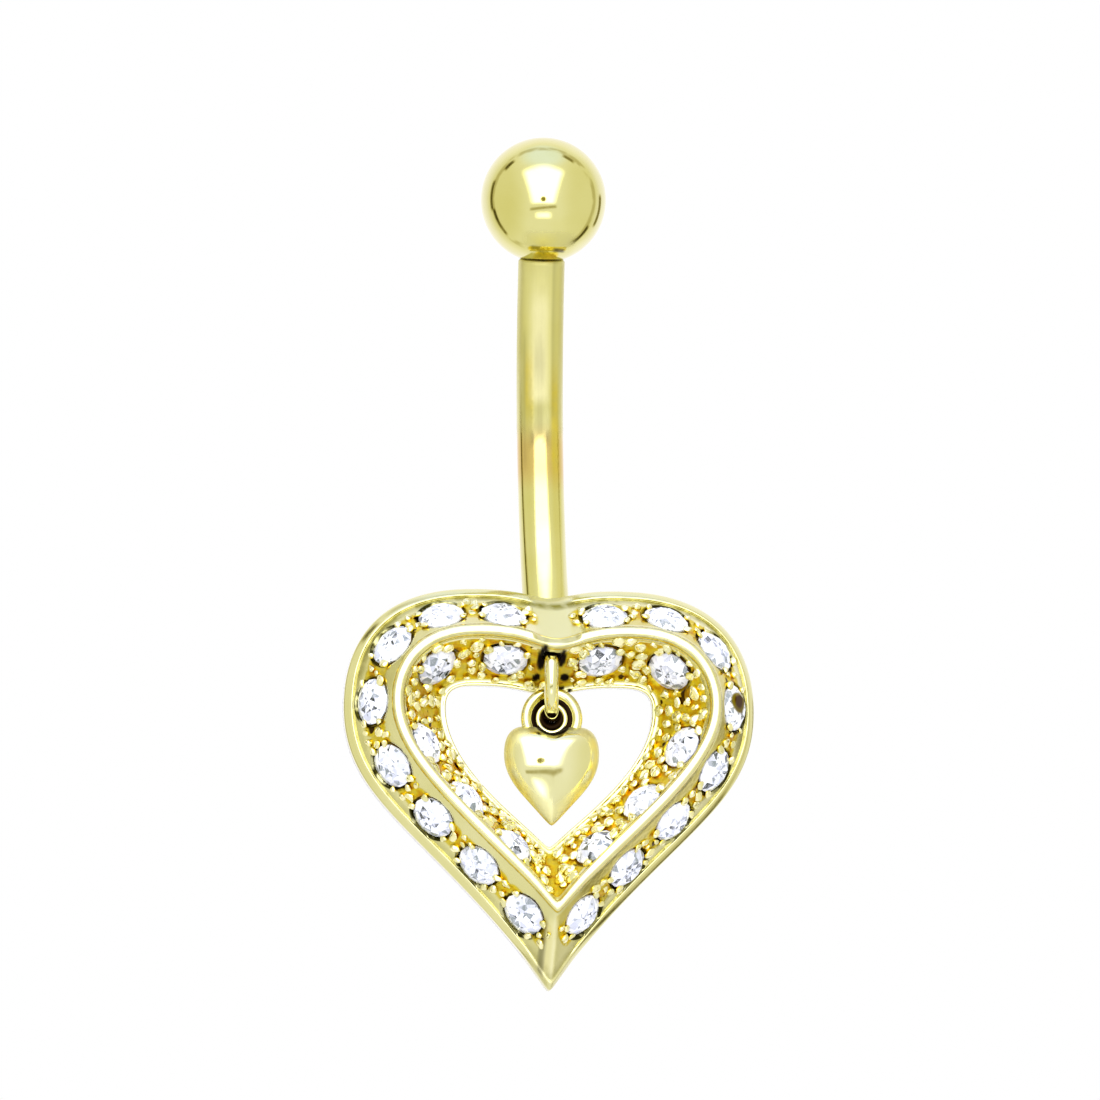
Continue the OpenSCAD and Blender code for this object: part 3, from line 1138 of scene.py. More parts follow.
@dataclass
class HeartPlan:
    """Outlines, section and stone places of the large heart."""

    axis: PostAxis
    outer: HeartOutline = HeartOutline(
        half_w=7.05, widest=-3.73, lobe_x=2.55, top=0.37, notch=0.0, tip=-13.33, top_round=0.72,
        side_round=0.56, side_reach=0.355, tip_reach=0.7, tip_angle=36.7, tip_radius=0.12, notch_radius=0.3,
    )
    ridge: HeartOutline = HeartOutline(
        half_w=5.44, widest=-3.73, lobe_x=2.7, top=-1.3, notch=-1.87, tip=-10.68, top_round=0.7,
        side_round=0.5, side_reach=0.31, tip_reach=0.53, tip_angle=41.3, tip_radius=0.12, notch_radius=0.3,
    )
    opening: HeartOutline = HeartOutline(
        half_w=3.55, widest=-3.73, lobe_x=2.55, top=-2.95, notch=-3.32, tip=-8.44, top_round=0.8,
        side_round=0.65, side_reach=0.38, tip_reach=0.42, tip_angle=49.6, tip_radius=0.12, notch_radius=0.3,
    )
    ridge_h: float = 2.6
    rim_h: float = 0.75
    lip_h: float = 0.4
    outer_w: float = 1.61
    rim_w: float = 0.3
    ridge_w: float = 0.34
    ridge_share: float = 0.955
    rim_share: float = 0.98
    lip_share: float = 0.94
    outer_d: float = 1.55
    inner_d: float = 1.5
    sink: float = 0.1
    outer_spots: tuple[StoneSpot, ...] = (
        StoneSpot(0.132, 0.43), StoneSpot(0.255, 0.47), StoneSpot(0.37, 0.48), StoneSpot(0.498, 0.51),
        StoneSpot(0.645, 0.51), StoneSpot(0.766, 0.54), StoneSpot(0.864, 0.56), StoneSpot(0.946, 0.56),
    )
    inner_spots: tuple[StoneSpot, ...] = (
        StoneSpot(0.125, -0.56), StoneSpot(0.332, -0.52), StoneSpot(0.612, -0.42),
        StoneSpot(0.768, -0.4), StoneSpot(0.898, -0.39),
    )
    # Spots of painted shade beside the link and lower down the front.
    shade_spots: tuple[ShadeSpot, ...] = (
        ShadeSpot(-0.42, -8.13, 0.16, 0.36),
        ShadeSpot(0.25, -8.15, 0.14, 0.24),
        ShadeSpot(-0.5, -8.67, 0.13, 0.11),
        ShadeSpot(0.47, -8.66, 0.17, 0.11),
        ShadeSpot(0.4, -8.99, 0.11, 0.09),
        ShadeSpot(0.69, -9.04, 0.09, 0.08),
        ShadeSpot(-1.33, -9.1, 0.11, 0.07),
        ShadeSpot(-0.82, -9.3, 0.12, 0.08),
    )

    def darkness(self, places: np.ndarray, margin: float = 0.0) -> np.ndarray:
        """Painted shade spots in the front of the metal round the link, from 0 to 1.

        Args:
            places: Points in millimetres, one a row.
            margin: How much wider each pit is taken.

        Returns:
            The darkness at each point.
        """
        dark = np.zeros(len(places))
        for shade_spot in self.shade_spots:
            across = (places[:, 0] - shade_spot.x) / (shade_spot.half_w + margin)
            up = (places[:, 2] - shade_spot.z) / (shade_spot.half_h + margin)
            dark = np.maximum(dark, smooth_fall(0.8, 1.15, np.hypot(across, up)))
        return dark * (places[:, 1] < self.axis.heart_back_y - 0.3)

    def placed(self, x: np.ndarray, height: np.ndarray, depth: np.ndarray) -> np.ndarray:
        """Turns the heart's own coordinates into the part's."""
        return np.stack([x, self.axis.heart_back_y - depth, self.axis.notch_z + height], axis=-1)

    def slope_depth(self, share: float) -> float:
        """Depth of the straight slope between the ridge line and the rim or the lip.

        Args:
            share: Signed share of the band, above 0 towards the rim.

        Returns:
            How far the slope lies in front of the heart's back.
        """
        top = self.ridge_share * self.ridge_h
        start = self.ridge_w / 2 / self.outer_w
        if share > 0:
            stop = 1 - self.rim_w / self.outer_w
            return top + (self.rim_share * self.rim_h - top) * (share - start) / (stop - start)
        return top + (self.lip_h - top) * (-share - start) / (self.lip_share - start)

    def spot_point(self, station: float, share: float) -> Vector:
        """Point of the slope.

        Args:
            station: Station along the outline.
            share: Signed share of the band.

        Returns:
            The point, in the part's frame.
        """
        at = np.array([station])
        edge = (self.outer if share > 0 else self.opening).points(at)[0]
        crest = self.ridge.points(at)[0]
        x, height = crest + abs(share) * (edge - crest)
        return Vector(self.placed(x, height, self.slope_depth(share)))

    def spot_frame(self, station: float, share: float, left: bool = False) -> Matrix:
        """Frame on the slope: X along the band, Z out of the metal.

        Args:
            station: Station along the outline.
            share: Signed share of the band.
            left: True for the left half.

        Returns:
            The frame, in millimetres.
        """
        here = self.spot_point(station, share)
        along = self.spot_point(station + 0.01, share) - self.spot_point(station - 0.01, share)
        across = self.spot_point(station, share + 0.02) - self.spot_point(station, share - 0.02)
        normal = along.cross(across).normalized()
        if left:
            flip = Vector((-1, 1, 1))
            here, along, normal = here * flip, along * flip, normal * flip
        side = along.normalized()
        turn = Matrix((side, normal.cross(side), normal)).transposed().to_4x4()
        return Matrix.Translation(here) @ turn


@dataclass(frozen=True)
class LinkPlan:
    """Size and place of the round link."""

    diameter: float = 2.88
    wire: float = 0.48
    drop: float = 2.8
    depth: float = 0.95
    play: float = 0.1
    turn: float = 8.0

    @property
    def radius(self) -> float:
        """Radius of the wire's centre line."""
        return (self.diameter - self.wire) / 2

    def path(self, axis: PostAxis, count: int) -> list[Vector]:
        """Points of the wire's centre line, turned a little about the line that the drop hangs on.

        Args:
            axis: The post's curve.
            count: Number of points.

        Returns:
            The points.
        """
        turn = math.radians(self.turn)
        back = Vector((math.sin(turn), math.cos(turn), 0))
        return circle_path(self.centre(axis), self.radius, back, UP, count)

    def centre(self, axis: PostAxis) -> Vector:
        """Centre of the link in the part's frame."""
        return Vector((0, axis.heart_back_y - self.depth, axis.notch_z - self.drop))

    def pivot(self, axis: PostAxis) -> Vector:
        """Place that the drop swings about."""
        return self.centre(axis) - self.radius * UP


class SectionRow(NamedTuple):
    """One edge of the large heart's section."""

    side: int
    share: float
    extra: float
    depth: float
    # Apart from slope, the values below are painted: a shade tone, a highlight and an olive shade.
    recess: float = 0.0
    slope: bool = False
    bright: float = 0.0
    tarnish: float = 0.0


@dataclass
class HeartShell:
    """Metal of the large heart: bevelled rim, two bands, ridge line, lip, seats and hollow back.

    A point of the section lies at a share of the band's width plus an extra distance outwards, and
    at a depth in front of the flat back. A crest row gives its depth below the ridge and its painted shade
    tone.
    """

    plan: HeartPlan
    gold: Material
    rim: tuple[tuple[float, float], ...] = (
        (-0.06, 0.0), (0.0, 0.06), (0.0, 0.38), (-0.01, 0.43), (-0.035, 0.47), (-0.09, 0.54),
        (-0.15, 0.61), (-0.205, 0.675), (-0.235, 0.7), (-0.262, 0.705), (-0.285, 0.69),
    )
    groove: tuple[tuple[float, float], ...] = ((-0.297, 0.67), (-0.31, 0.665))
    outer_foot: tuple[float, float] = (-0.325, 0.7)
    slope_top: tuple[float, float] = (0.215, 2.37)
    inner_foot: tuple[float, float] = (-0.17, 0.36)
    # Each crest row: extra distance, drop below the ridge and the painted shade tone on the ridge's walls.
    crest: tuple[tuple[float, float, float], ...] = (
        (0.19, -0.2, 0.7), (0.18, -0.13, 0.5), (0.168, -0.07, 0.0), (0.14, -0.028, 0.0),
        (0.1, -0.008, 0.0), (0.05, -0.002, 0.0), (0.0, 0.0, 0.0),
    )
    back: tuple[tuple[int, float, float, float], ...] = (
        (-1, 1.0, 0.0, 0.06), (-1, 1.0, -0.06, 0.0), (-1, 0.673, 0.04, 0.0), (-1, 0.673, -0.03, 0.05),
        (-1, 0.4, 0.0, 0.42), (-1, 0.12, 0.0, 0.9), (-1, 0.0, 0.02, 0.98), (1, 0.0, 0.02, 0.98),
        (1, 0.1, 0.0, 0.9), (1, 0.25, 0.0, 0.48), (1, 0.41, -0.03, 0.05), (1, 0.41, 0.04, 0.0),
    )
    lip_r: float = 0.06
    slope_rows: int = 36
    outer_recess: float = 0.035
    inner_recess: float = 0.09
    seat_play: float = 0.05
    seat_depths: tuple[float, ...] = (0.8, 0.4, 0.24, 0.2, 0.0)
    strap_low: float = 0.5
    strap_high: float = 0.85
    strap_foot: float = 0.61
    edge_in: float = 0.32
    edge_out: float = 0.2
    # Painted light on the rows: cream highlights and olive shade on the crests, shade in the groove, and
    # olive shade near the rim and on the outer band.
    line_highlight: float = 0.4
    line_olive_shade: float = 0.35
    groove_shade_tone: float = 0.1
    groove_olive_shade: float = 0.6
    slope_olive_shade: float = 0.95
    slope_fade: float = 0.18
    dimming_shade: tuple[tuple[float, ...], tuple[float, ...]] = ((0.15, 0.21, 0.29), (0.0, 0.15, 0.6))
    band_shade_tone: float = 0.2
    band_olive_shade: float = 0.16
    left_band_shade: float = 0.6
    tip_highlight: tuple[float, float] = (-0.12, 0.16)
    tip_shade: tuple[float, float] = (-0.36, 0.05)
    fill_low: float = 0.75
    fill_high: float = 1.15
    link: LinkPlan = LinkPlan()
    stations: np.ndarray = field(default_factory=lambda: split_stations(46, 108, 196))

    def _rows(self) -> list[SectionRow]:
        """The section, from the rim over the ridge to the lip and through the hollow back.

        Returns:
            One row for each edge of the closed section.
        """
        rows = []
        # Painted cream highlights and olive shade on the rim rows, painted shade in the groove, and painted
        # olive shade fading up the slope from the rim.
        for extra, depth in self.rim:
            tarnish = float(np.interp(-extra, *self.dimming_shade))
            bright = self.line_highlight * (depth > 0.65)
            rows.append(SectionRow(1, 1.0, extra, depth, bright=bright, tarnish=tarnish))
        for extra, depth in self.groove:
            rows.append(SectionRow(1, 1.0, extra, depth, self.groove_shade_tone, tarnish=self.groove_olive_shade))
        shares = [i / self.slope_rows for i in range(self.slope_rows + 1)]
        foot, top, lip = np.array(self.outer_foot), np.array(self.slope_top), np.array(self.inner_foot)
        for t in shares:
            tarnish = self.slope_olive_shade * max(0.0, 1 - (t / self.slope_fade) ** 2)
            rows.append(SectionRow(1, 1 - t, *(foot * (1 - t) + top * t), slope=True, tarnish=tarnish))
        # Painted cream highlight and olive shade on the ridge's crest, and painted shade tone on its walls.
        for side, line in ((1, self.crest), (-1, self.crest[-2::-1])):
            for extra, drop, deep in line:
                bright, tarnish = (self.line_highlight, self.line_olive_shade) if deep == 0.0 else (0.0, 0.0)
                height = self.plan.ridge_h + drop
                rows.append(SectionRow(side, 0.0, extra, height, deep, False, bright, tarnish))
        rows += [SectionRow(-1, t, *(top * (1 - t) + lip * t), slope=True) for t in shares]
        for i in range(6):
            a = math.radians(125 - 25 * i)
            extra, rise = self.lip_r * (math.cos(a) - 1), self.lip_r * (math.sin(a) - 1)
            rows.append(SectionRow(-1, 1.0, extra, self.plan.lip_h + rise))
        return rows + [SectionRow(*values) for values in self.back]

    def _grid(self, rows: Sequence[SectionRow]) -> np.ndarray:
        """Base surface of the right half.

        Args:
            rows: The section.

        Returns:
            Points [station, row, xyz].
        """
        plan = self.plan
        outer, ridge, opening = (o.points(self.stations) for o in (plan.outer, plan.ridge, plan.opening))
        grid = np.empty((len(self.stations), len(rows), 3))
        on_lobe = self.stations < LOBE_STATION
        for r, row in enumerate(rows):
            reach = (outer if row.side > 0 else opening) - ridge
            width = np.linalg.norm(reach, axis=1)
            flat = ridge + reach * ((row.share * width + row.extra) / width)[:, None]
            depth = np.full(len(flat), row.depth)
            if row.side > 0 and self.edge_out < -row.extra < self.edge_in and not row.slope:
                level = 0.675 - 0.2 * (row.extra + 0.205)
                depth += smooth_step(0.95, 0.975, self.stations) * (level - depth)
            if row.side > 0 and row.depth > 0.6 and (row.slope or -row.extra < self.edge_in):
                fall = np.clip((outer[0, 1] - flat[:, 1]) / (outer[0, 1] - ridge[0, 1]), 0.0, 1.0)
                strap = smooth_fall(self.strap_low, self.strap_high, flat[:, 0]) * on_lobe
                depth += strap * (self.strap_foot + (plan.ridge_h - self.strap_foot) * fall - depth)
            if row.share < 1 and row.depth < 1 and not row.slope:
                fill = smooth_fall(self.fill_low, self.fill_high, flat[:, 0]) * on_lobe
                depth -= fill * max(row.depth - 0.08, 0.0)
            grid[:, r] = plan.placed(flat[:, 0], flat[:, 1], depth)
        grid[0, :, 0] = 0.0
        grid[-1, :, 0] = 0.0
        return grid

    def _seated(self) -> dict[str, np.ndarray]:
        """Presses the seats and the recesses into the base surface.

        Returns:
            The points of the right half and what the finish reads at each one. Edge is the distance
            from the nearest stone's axis over its radius, and outward the side of the stone that the
            point lies on, 1 towards the rim.
        """
        plan = self.plan
        rows = self._rows()
        grid = self._grid(rows)
        shape = grid.shape[:2]
        sides = np.array([row.side for row in rows])
        bands = np.array([row.share for row in rows])
        slope = np.array([row.slope for row in rows])
        lobes = 1 - 0.65 * smooth_step(0.3, 0.55, self.stations)
        # Painted shade on the outer band, on its rim side between the stones.
        band_shade_rows = slope * (sides > 0) * smooth_step(0.0, 0.07, bands) * smooth_fall(0.3, 0.52, bands)
        result = {
            "points": grid.copy(),
            "recess": np.tile([row.recess for row in rows], (shape[0], 1)),
            "satin": 0.15 + 0.15 * np.tile(slope, (shape[0], 1)) + 0.6 * near(grid[..., 0], 0.0, 0.5, 1.0),
            "bright": np.tile([row.bright for row in rows], (shape[0], 1)),
            "tarnish": np.outer(lobes, [row.tarnish for row in rows]),
            "edge": np.zeros(shape),
            "outward": np.zeros(shape),
            "tan": np.outer(smooth_step(0.06, 0.12, self.stations), band_shade_rows),
        }
        for spots, side, diameter, depth in (
            (plan.outer_spots, 1, plan.outer_d, self.outer_recess),
            (plan.inner_spots, -1, plan.inner_d, self.inner_recess),
        ):
            radius = diameter / 2
            nearest = np.full(shape, 9.0)
            push = np.zeros(shape)
            normals = np.zeros_like(grid)
            use = np.broadcast_to((slope & (sides == side))[None, :], shape)
            for spot in spots:
                frame = plan.spot_frame(spot.station, spot.share)
                across, normal, centre = (np.array(frame.col[c][:3]) for c in (1, 2, 3))
                reach = grid - centre
                height = reach @ normal
                flat = np.linalg.norm(reach - height[..., None] * normal, axis=-1)
                far = np.hypot(flat, height)
                closer = use & (far < nearest)
                nearest = np.where(closer, far, nearest)
                normals[closer] = normal
                result["edge"][closer] = (flat / radius)[closer]
                result["outward"][closer] = (reach @ across / np.maximum(flat, 0.01))[closer]
                seat_r = radius + self.seat_play
                seat = np.interp(flat, (0, 0.59, seat_r - 0.03, seat_r, seat_r + 0.05), self.seat_depths)
                push = np.maximum(push, np.where(far < 1.2, seat, 0.0))
            if side > 0:
                hollow = smooth_step(0.2, 0.38, bands) * smooth_fall(0.66, 0.84, bands)
                hollow = hollow[None, :] * smooth_fall(radius + 0.3, radius + 0.5, nearest) * 0.8
            else:
                hollow = 0.86 * smooth_step(0.05, 0.12, bands) * smooth_fall(0.93, 0.99, bands)
                hollow = np.broadcast_to(hollow[None, :], shape)
            amount = np.where(use, np.maximum(push, depth * hollow), 0.0)
            result["points"] -= normals * amount[..., None]
            # The hollow ground is pressed in and also gets painted shade tone.
            result["recess"] += np.where(use, hollow, 0.0)
        return result

    def build(self) -> list[Object]:
        """Makes the heart's metal, with the hole for the link.

        Returns:
            The pieces.
        """
        half = self._seated()
        right = half.pop("points")
        tan = half.pop("tan")
        # Painted shade on the outer band; the left half gets less of it.
        left_band_shade = self.left_band_shade * tan * smooth_fall(0.28, 0.42, self.stations)[:, None]
        whole = np.concatenate([right, right[-2:0:-1] * np.array([-1, 1, 1])])
        faces = ring_faces(*whole.shape[:2], True)
        shell = mesh_object("heart_shell", whole.reshape(-1, 3).tolist(), faces, self.gold)
        for name, values in half.items():
            more = {"recess": self.band_shade_tone, "tarnish": self.band_olive_shade}.get(name, 0.0)
            around = np.concatenate([values + more * tan, (values + more * left_band_shade)[-2:0:-1]]).reshape(-1)
            if name == "bright":
                around = np.maximum(around, self._highlights(whole.reshape(-1, 3)))
            add_values(shell.data, name, "FLOAT", "POINT", around.tolist())
        turn_outwards(shell)
        self._pierce(shell)
        return [shell]

    def _highlights(self, places: np.ndarray) -> np.ndarray:
        """Painted highlights: paler metal on the strip at the tip and on the strap under the notch.

        Args:
            places: Points in millimetres, one a row.

        Returns:
            The pale share at each point, from 0 to 1.
        """
        x, y, z = places.T
        strap = near(x, 0.0, self.strap_low, self.strap_high) * smooth_step(-8.0, -7.9, z) * (y < -2.5)
        return np.maximum(0.8 * self._tip_strip(places, *self.tip_highlight), 0.3 * strap)

    @staticmethod
    def _tip_strip(places: np.ndarray, middle: float, half: float) -> np.ndarray:
        """An upright strip on the tip of the heart's front, from 0 to 1.

        Args:
            places: Points in millimetres, one a row.
            middle: Place of the strip in X.
            half: Half its width.

        Returns:
            The strip's strength at each point.
        """
        x, y, z = places.T
        across = near(x, middle, half, half + 0.09)
        return across * smooth_step(16.9, 17.3, -z) * smooth_fall(18.7, 19.1, -z) * (y < -2.55)

    def _pierce(self, shell: Object) -> None:
        """Cuts the round tunnel that the link passes through; its wall gets painted shade.

        Args:
            shell: The heart's metal.
        """
        link = self.link
        path = link.path(self.plan.axis, 96)
        cutter = tube("tunnel", path, [link.wire / 2 + link.play] * len(path), self.gold, closed=True)
        modifier = shell.modifiers.new("tunnel", "BOOLEAN")
        modifier.operation = "DIFFERENCE"
        modifier.solver = "EXACT"
        modifier.object = cutter
        evaluated = shell.evaluated_get(bpy.context.evaluated_depsgraph_get())
        pierced = bpy.data.meshes.new_from_object(evaluated)
        shell.modifiers.remove(modifier)
        shell.data = pierced
        bpy.data.objects.remove(cutter)
        paint(shell, lambda places: {"shade": self._shade(places)})

    def _shade(self, places: np.ndarray) -> np.ndarray:
        """Painted shade on the metal: the tunnel's wall, the spots beside the link and a line at the tip.

        Args:
            places: Points in millimetres, one a row.

        Returns:
            The shade at each point, from 0 to 1.
        """
        link = self.link
        turn = math.radians(link.turn)
        reach = places - np.array(link.centre(self.plan.axis))
        aside = reach[:, 0] * math.cos(turn) - reach[:, 1] * math.sin(turn)
        back = reach[:, 0] * math.sin(turn) + reach[:, 1] * math.cos(turn)
        far = np.hypot(np.hypot(back, reach[:, 2]) - link.radius, aside)
        tunnel = far < link.wire / 2 + link.play + 0.01
        tip = 0.5 * self._tip_strip(places, *self.tip_shade)
        return np.maximum.reduce([tunnel, self.plan.darkness(places), tip])


# Beads and stones


def carrier_object(
    name: str, points: Sequence[Vector], values: dict[str, Sequence[float] | Sequence[Vector]]
) -> Object:
    """Makes a cloud of points that a geometry tree puts copies on.

    Args:
        name: Name of the object.
        points: The points, in millimetres.
        values: Number or vector attributes, one value a point.

    Returns:
        The object.
    """
    mesh = bpy.data.meshes.new(name)
    mesh.from_pydata([p * MM for p in points], [], [])
    for key, row in values.items():
        if isinstance(row[0], Vector):
            add_values(mesh, key, "FLOAT_VECTOR", "POINT", [c for v in row for c in v])
        else:
            add_values(mesh, key, "FLOAT", "POINT", list(row))
    return add_object(name, mesh)


def named_value(graph: Graph, name: str, kind: str = "FLOAT") -> Term:
    """Reads a named attribute in a geometry tree."""
    return graph.term("GeometryNodeInputNamedAttribute", {"data_type": kind}, {"Name": name})


def store_value(graph: Graph, shape: Term, name: str, value: Term) -> Term:
    """Stores a number on each point in a geometry tree.

    Args:
        graph: The tree's graph.
        shape: The geometry so far.
        name: Name of the attribute.
        value: The number.

    Returns:
        The geometry with the attribute.
    """
    settings = {"data_type": "FLOAT", "domain": "POINT"}
    sockets = {"Geometry": shape, "Name": name, "Value": value}
    return graph.term("GeometryNodeStoreNamedAttribute", settings, sockets)


def bead_tree(gold: Material) -> NodeTree:
    """Node tree that puts a domed bead on each point.

    Args:
        gold: The finish.

    Returns:
        The tree, with the inputs Bead Radius, Flatness and Wobble.
    """
    inputs = dict.fromkeys(("Bead Radius", "Flatness", "Wobble"), "Float")
    tree, graph, given = new_tree("beads_on_points", inputs)
    sockets = {"Segments": 20, "Rings": 12, "Radius": given["Bead Radius"]}
    dome = graph.term("GeometryNodeMeshUVSphere", None, sockets)
    place = graph.node("GeometryNodeInputPosition").outputs[0]
    height = graph.term("ShaderNodeSeparateXYZ", None, {0: place}, output=2)
    rise = height / Term(graph, given["Bead Radius"])
    # Painted shade low on each bead and a painted highlight on its top.
    for name, value in (("recess", (0.4 - rise) * 1.2), ("bright", (rise - 0.1) * 1.6)):
        dome = store_value(graph, dome, name, graph.term("ShaderNodeClamp", None, {0: value}))
    sockets = {"Vector": named_value(graph, "axis", "FLOAT_VECTOR")}
    turn = graph.term("FunctionNodeAlignRotationToVector", {"axis": "Z"}, sockets)
    size = named_value(graph, "size")
    long = size * named_value(graph, "length")
    flat = size * Term(graph, given["Flatness"])
    scale = graph.term("ShaderNodeCombineXYZ", None, {0: long, 1: size, 2: flat})
    spin = graph.term("ShaderNodeCombineXYZ", None, {2: named_value(graph, "turn")})
    placed = graph.term(
        "GeometryNodeInstanceOnPoints",
        None,
        {"Points": given["Geometry"], "Instance": dome, "Rotation": turn, "Scale": scale},
    )
    sockets = {"Instances": placed, "Rotation": spin, "Local Space": True}
    placed = graph.term("GeometryNodeRotateInstances", None, sockets)
    real = graph.term("GeometryNodeRealizeInstances", None, {0: placed})
    wave = graph.term("ShaderNodeTexNoise", None, {"Scale": 3200.0, "Detail": 1.0}, output="Color")
    wave = graph.term("ShaderNodeVectorMath", {"operation": "SUBTRACT"}, {0: wave, 1: (0.5, 0.5, 0.5)})
    push = graph.node("ShaderNodeVectorMath", {"operation": "SCALE"}, {0: wave, "Scale": given["Wobble"]})
    real = graph.term("GeometryNodeSetPosition", None, {"Geometry": real, "Offset": push.outputs[0]})
    # The painted highlight is weaker on some beads, by chance.
    glow = named_value(graph, "bright") * named_value(graph, "glow")
    finish_tree(graph, store_value(graph, real, "bright", glow), gold)
    return tree


@dataclass(frozen=True)
class BeadBand:
    """How the beads of one band are spread; holders grip the stones and grains fill the ground."""

    name: str
    spots: tuple[StoneSpot, ...]
    stone_r: float
    holder_r: float
    holder_gap: float
    holder_angle: float
    grain_low: float
    grain_high: float
    first_share: float
    last_share: float
    reach: float
    spacing: float
    sink: float


@dataclass
class Beads:
    """Beads of gold: four that hold each stone, and smaller ones raised between the stones."""

    plan: HeartPlan
    gold: Material
    flatness: float = 0.7
    wobble: float = 0.22
    link_clear: float = 0.45
    link_low: float = -9.0
    holder_sink: float = 0.03
    holder_turn: float = 9.0
    holder_sizes: tuple[float, float] = (0.85, 1.12)
    station_range: tuple[float, float] = (0.012, 0.988)
    tries: int = 5000
    seed: int = 11

    def _bands(self) -> list[BeadBand]:
        """The beads of both bands.

        Returns:
            The outer band and the inner one.
        """
        plan = self.plan
        outer = BeadBand(
            name="outer_beads", spots=plan.outer_spots, stone_r=plan.outer_d / 2,
            holder_r=0.13, holder_gap=0.05, holder_angle=30.0, grain_low=0.09, grain_high=0.17,
            first_share=0.34, last_share=0.68, reach=0.4, spacing=0.33, sink=0.03,
        )
        inner = BeadBand(
            name="inner_beads", spots=plan.inner_spots, stone_r=plan.inner_d / 2,
            holder_r=0.17, holder_gap=0.08, holder_angle=36.0, grain_low=0.1, grain_high=0.23,
            first_share=-0.92, last_share=-0.2, reach=9.0, spacing=0.37, sink=0.08,
        )
        return [outer, inner]

    def _holders(self, band: BeadBand, left: bool, draw: random.Random) -> list[BeadPlace]:
        """Place, direction and radius of the beads that hold the stones of one half.

        Args:
            band: The band.
            left: True for the left half.
            draw: Source of chance.

        Returns:
            The beads.
        """
        made = []
        reach = band.stone_r + band.holder_gap
        for spot in band.spots:
            frame = self.plan.spot_frame(spot.station, spot.share, left)
            turn = band.holder_angle
            for quarter in (turn, 180 - turn, 180 + turn, 360 - turn):
                a = math.radians(quarter + draw.uniform(-self.holder_turn, self.holder_turn))
                local = Vector((reach * math.cos(a), reach * math.sin(a), -self.holder_sink))
                size = band.holder_r * draw.uniform(*self.holder_sizes)
                made.append((frame @ local, Vector(frame.col[2][:3]), size))
        return made

    def _grains(
        self, band: BeadBand, left: bool, taken: Sequence[Vector], draw: random.Random
    ) -> list[BeadPlace]:
        """Place, direction and radius of the beads between the stones of one half.

        Args:
            band: The band.
            left: True for the left half.
            taken: Places of the beads that hold the stones.
            draw: Source of chance.

        Returns:
            The beads.
        """
        flip = -1.0 if left else 1.0
        stones = np.array([self.plan.spot_point(s.station, s.share) for s in band.spots]) * (flip, 1, 1)
        kept = [np.array(p) for p in taken]
        made = []
        for _ in range(self.tries):
            station = draw.uniform(*self.station_range)
            share = draw.uniform(band.first_share, band.last_share)
            here = np.array(self.plan.spot_point(station, share)) * (flip, 1, 1)
            gap = np.min(np.linalg.norm(stones - here, axis=1)) - band.stone_r
            size = draw.uniform(band.grain_low, band.grain_high)
            if not size + 0.01 < gap < band.reach or self.plan.darkness(here[None], size)[0] > 0.1:
                continue
            if abs(here[0]) < self.link_clear and here[2] > self.link_low:
                continue
            if min(np.linalg.norm(np.array(kept) - here, axis=1)) < band.spacing:
                continue
            frame = self.plan.spot_frame(station, share, left)
            kept.append(here)
            made.append((frame @ Vector((0, 0, -band.sink)), Vector(frame.col[2][:3]), size))
        return made

    def build(self) -> list[Object]:
        """Makes the beads of both bands.

        Returns:
            The pieces.
        """
        made = []
        draw = random.Random(self.seed)
        for band in self._bands():
            beads: list[BeadPlace] = []
            for left in (False, True):
                holders = self._holders(band, left, draw)
                beads += holders + self._grains(band, left, [place for place, _, _ in holders], draw)
            places, axes, sizes = zip(*beads)
            values = {
                "axis": axes,
                "size": sizes,
                "length": [draw.uniform(0.9, 1.4) for _ in beads],
                "turn": [draw.uniform(0, math.pi) for _ in beads],
                "glow": [draw.choice((0.1, 0.5, 1.0, 1.0)) for _ in beads],
            }
            carrier = carrier_object(band.name, places, values)
            values = {"Bead Radius": MM, "Flatness": self.flatness, "Wobble": self.wobble * MM}
            carrier.data = plain_mesh_from(carrier, bead_tree(self.gold), values)
            made.append(carrier)
            LOG.info("%s: %d beads", band.name, len(beads))
        return made


def stone_tree(finish: Material) -> NodeTree:
    """Node tree that puts a cut stone on each point.

    Args:
        finish: The finish.

    Returns:
        The tree, with the inputs Stone and Stone Scale.
    """
    tree, graph, given = new_tree("stones_on_points", {"Stone": "Object", "Stone Scale": "Float"})
    cut = graph.term("GeometryNodeObjectInfo", None, {"Object": given["Stone"]}, output="Geometry")
    settings = {"primary_axis": "Z", "secondary_axis": "X"}
    axes = {n: named_value(graph, name, "FLOAT_VECTOR") for n, name in enumerate(("axis", "along"))}
    turn = graph.term("FunctionNodeAxesToRotation", settings, axes)
    scale = graph.term("ShaderNodeCombineXYZ", None, {n: given["Stone Scale"] for n in range(3)})
    placed = graph.term(
        "GeometryNodeInstanceOnPoints",
        None,
        {"Points": given["Geometry"], "Instance": cut, "Rotation": turn, "Scale": scale},
    )
    finish_tree(graph, placed, finish, smooth=False)
    return tree


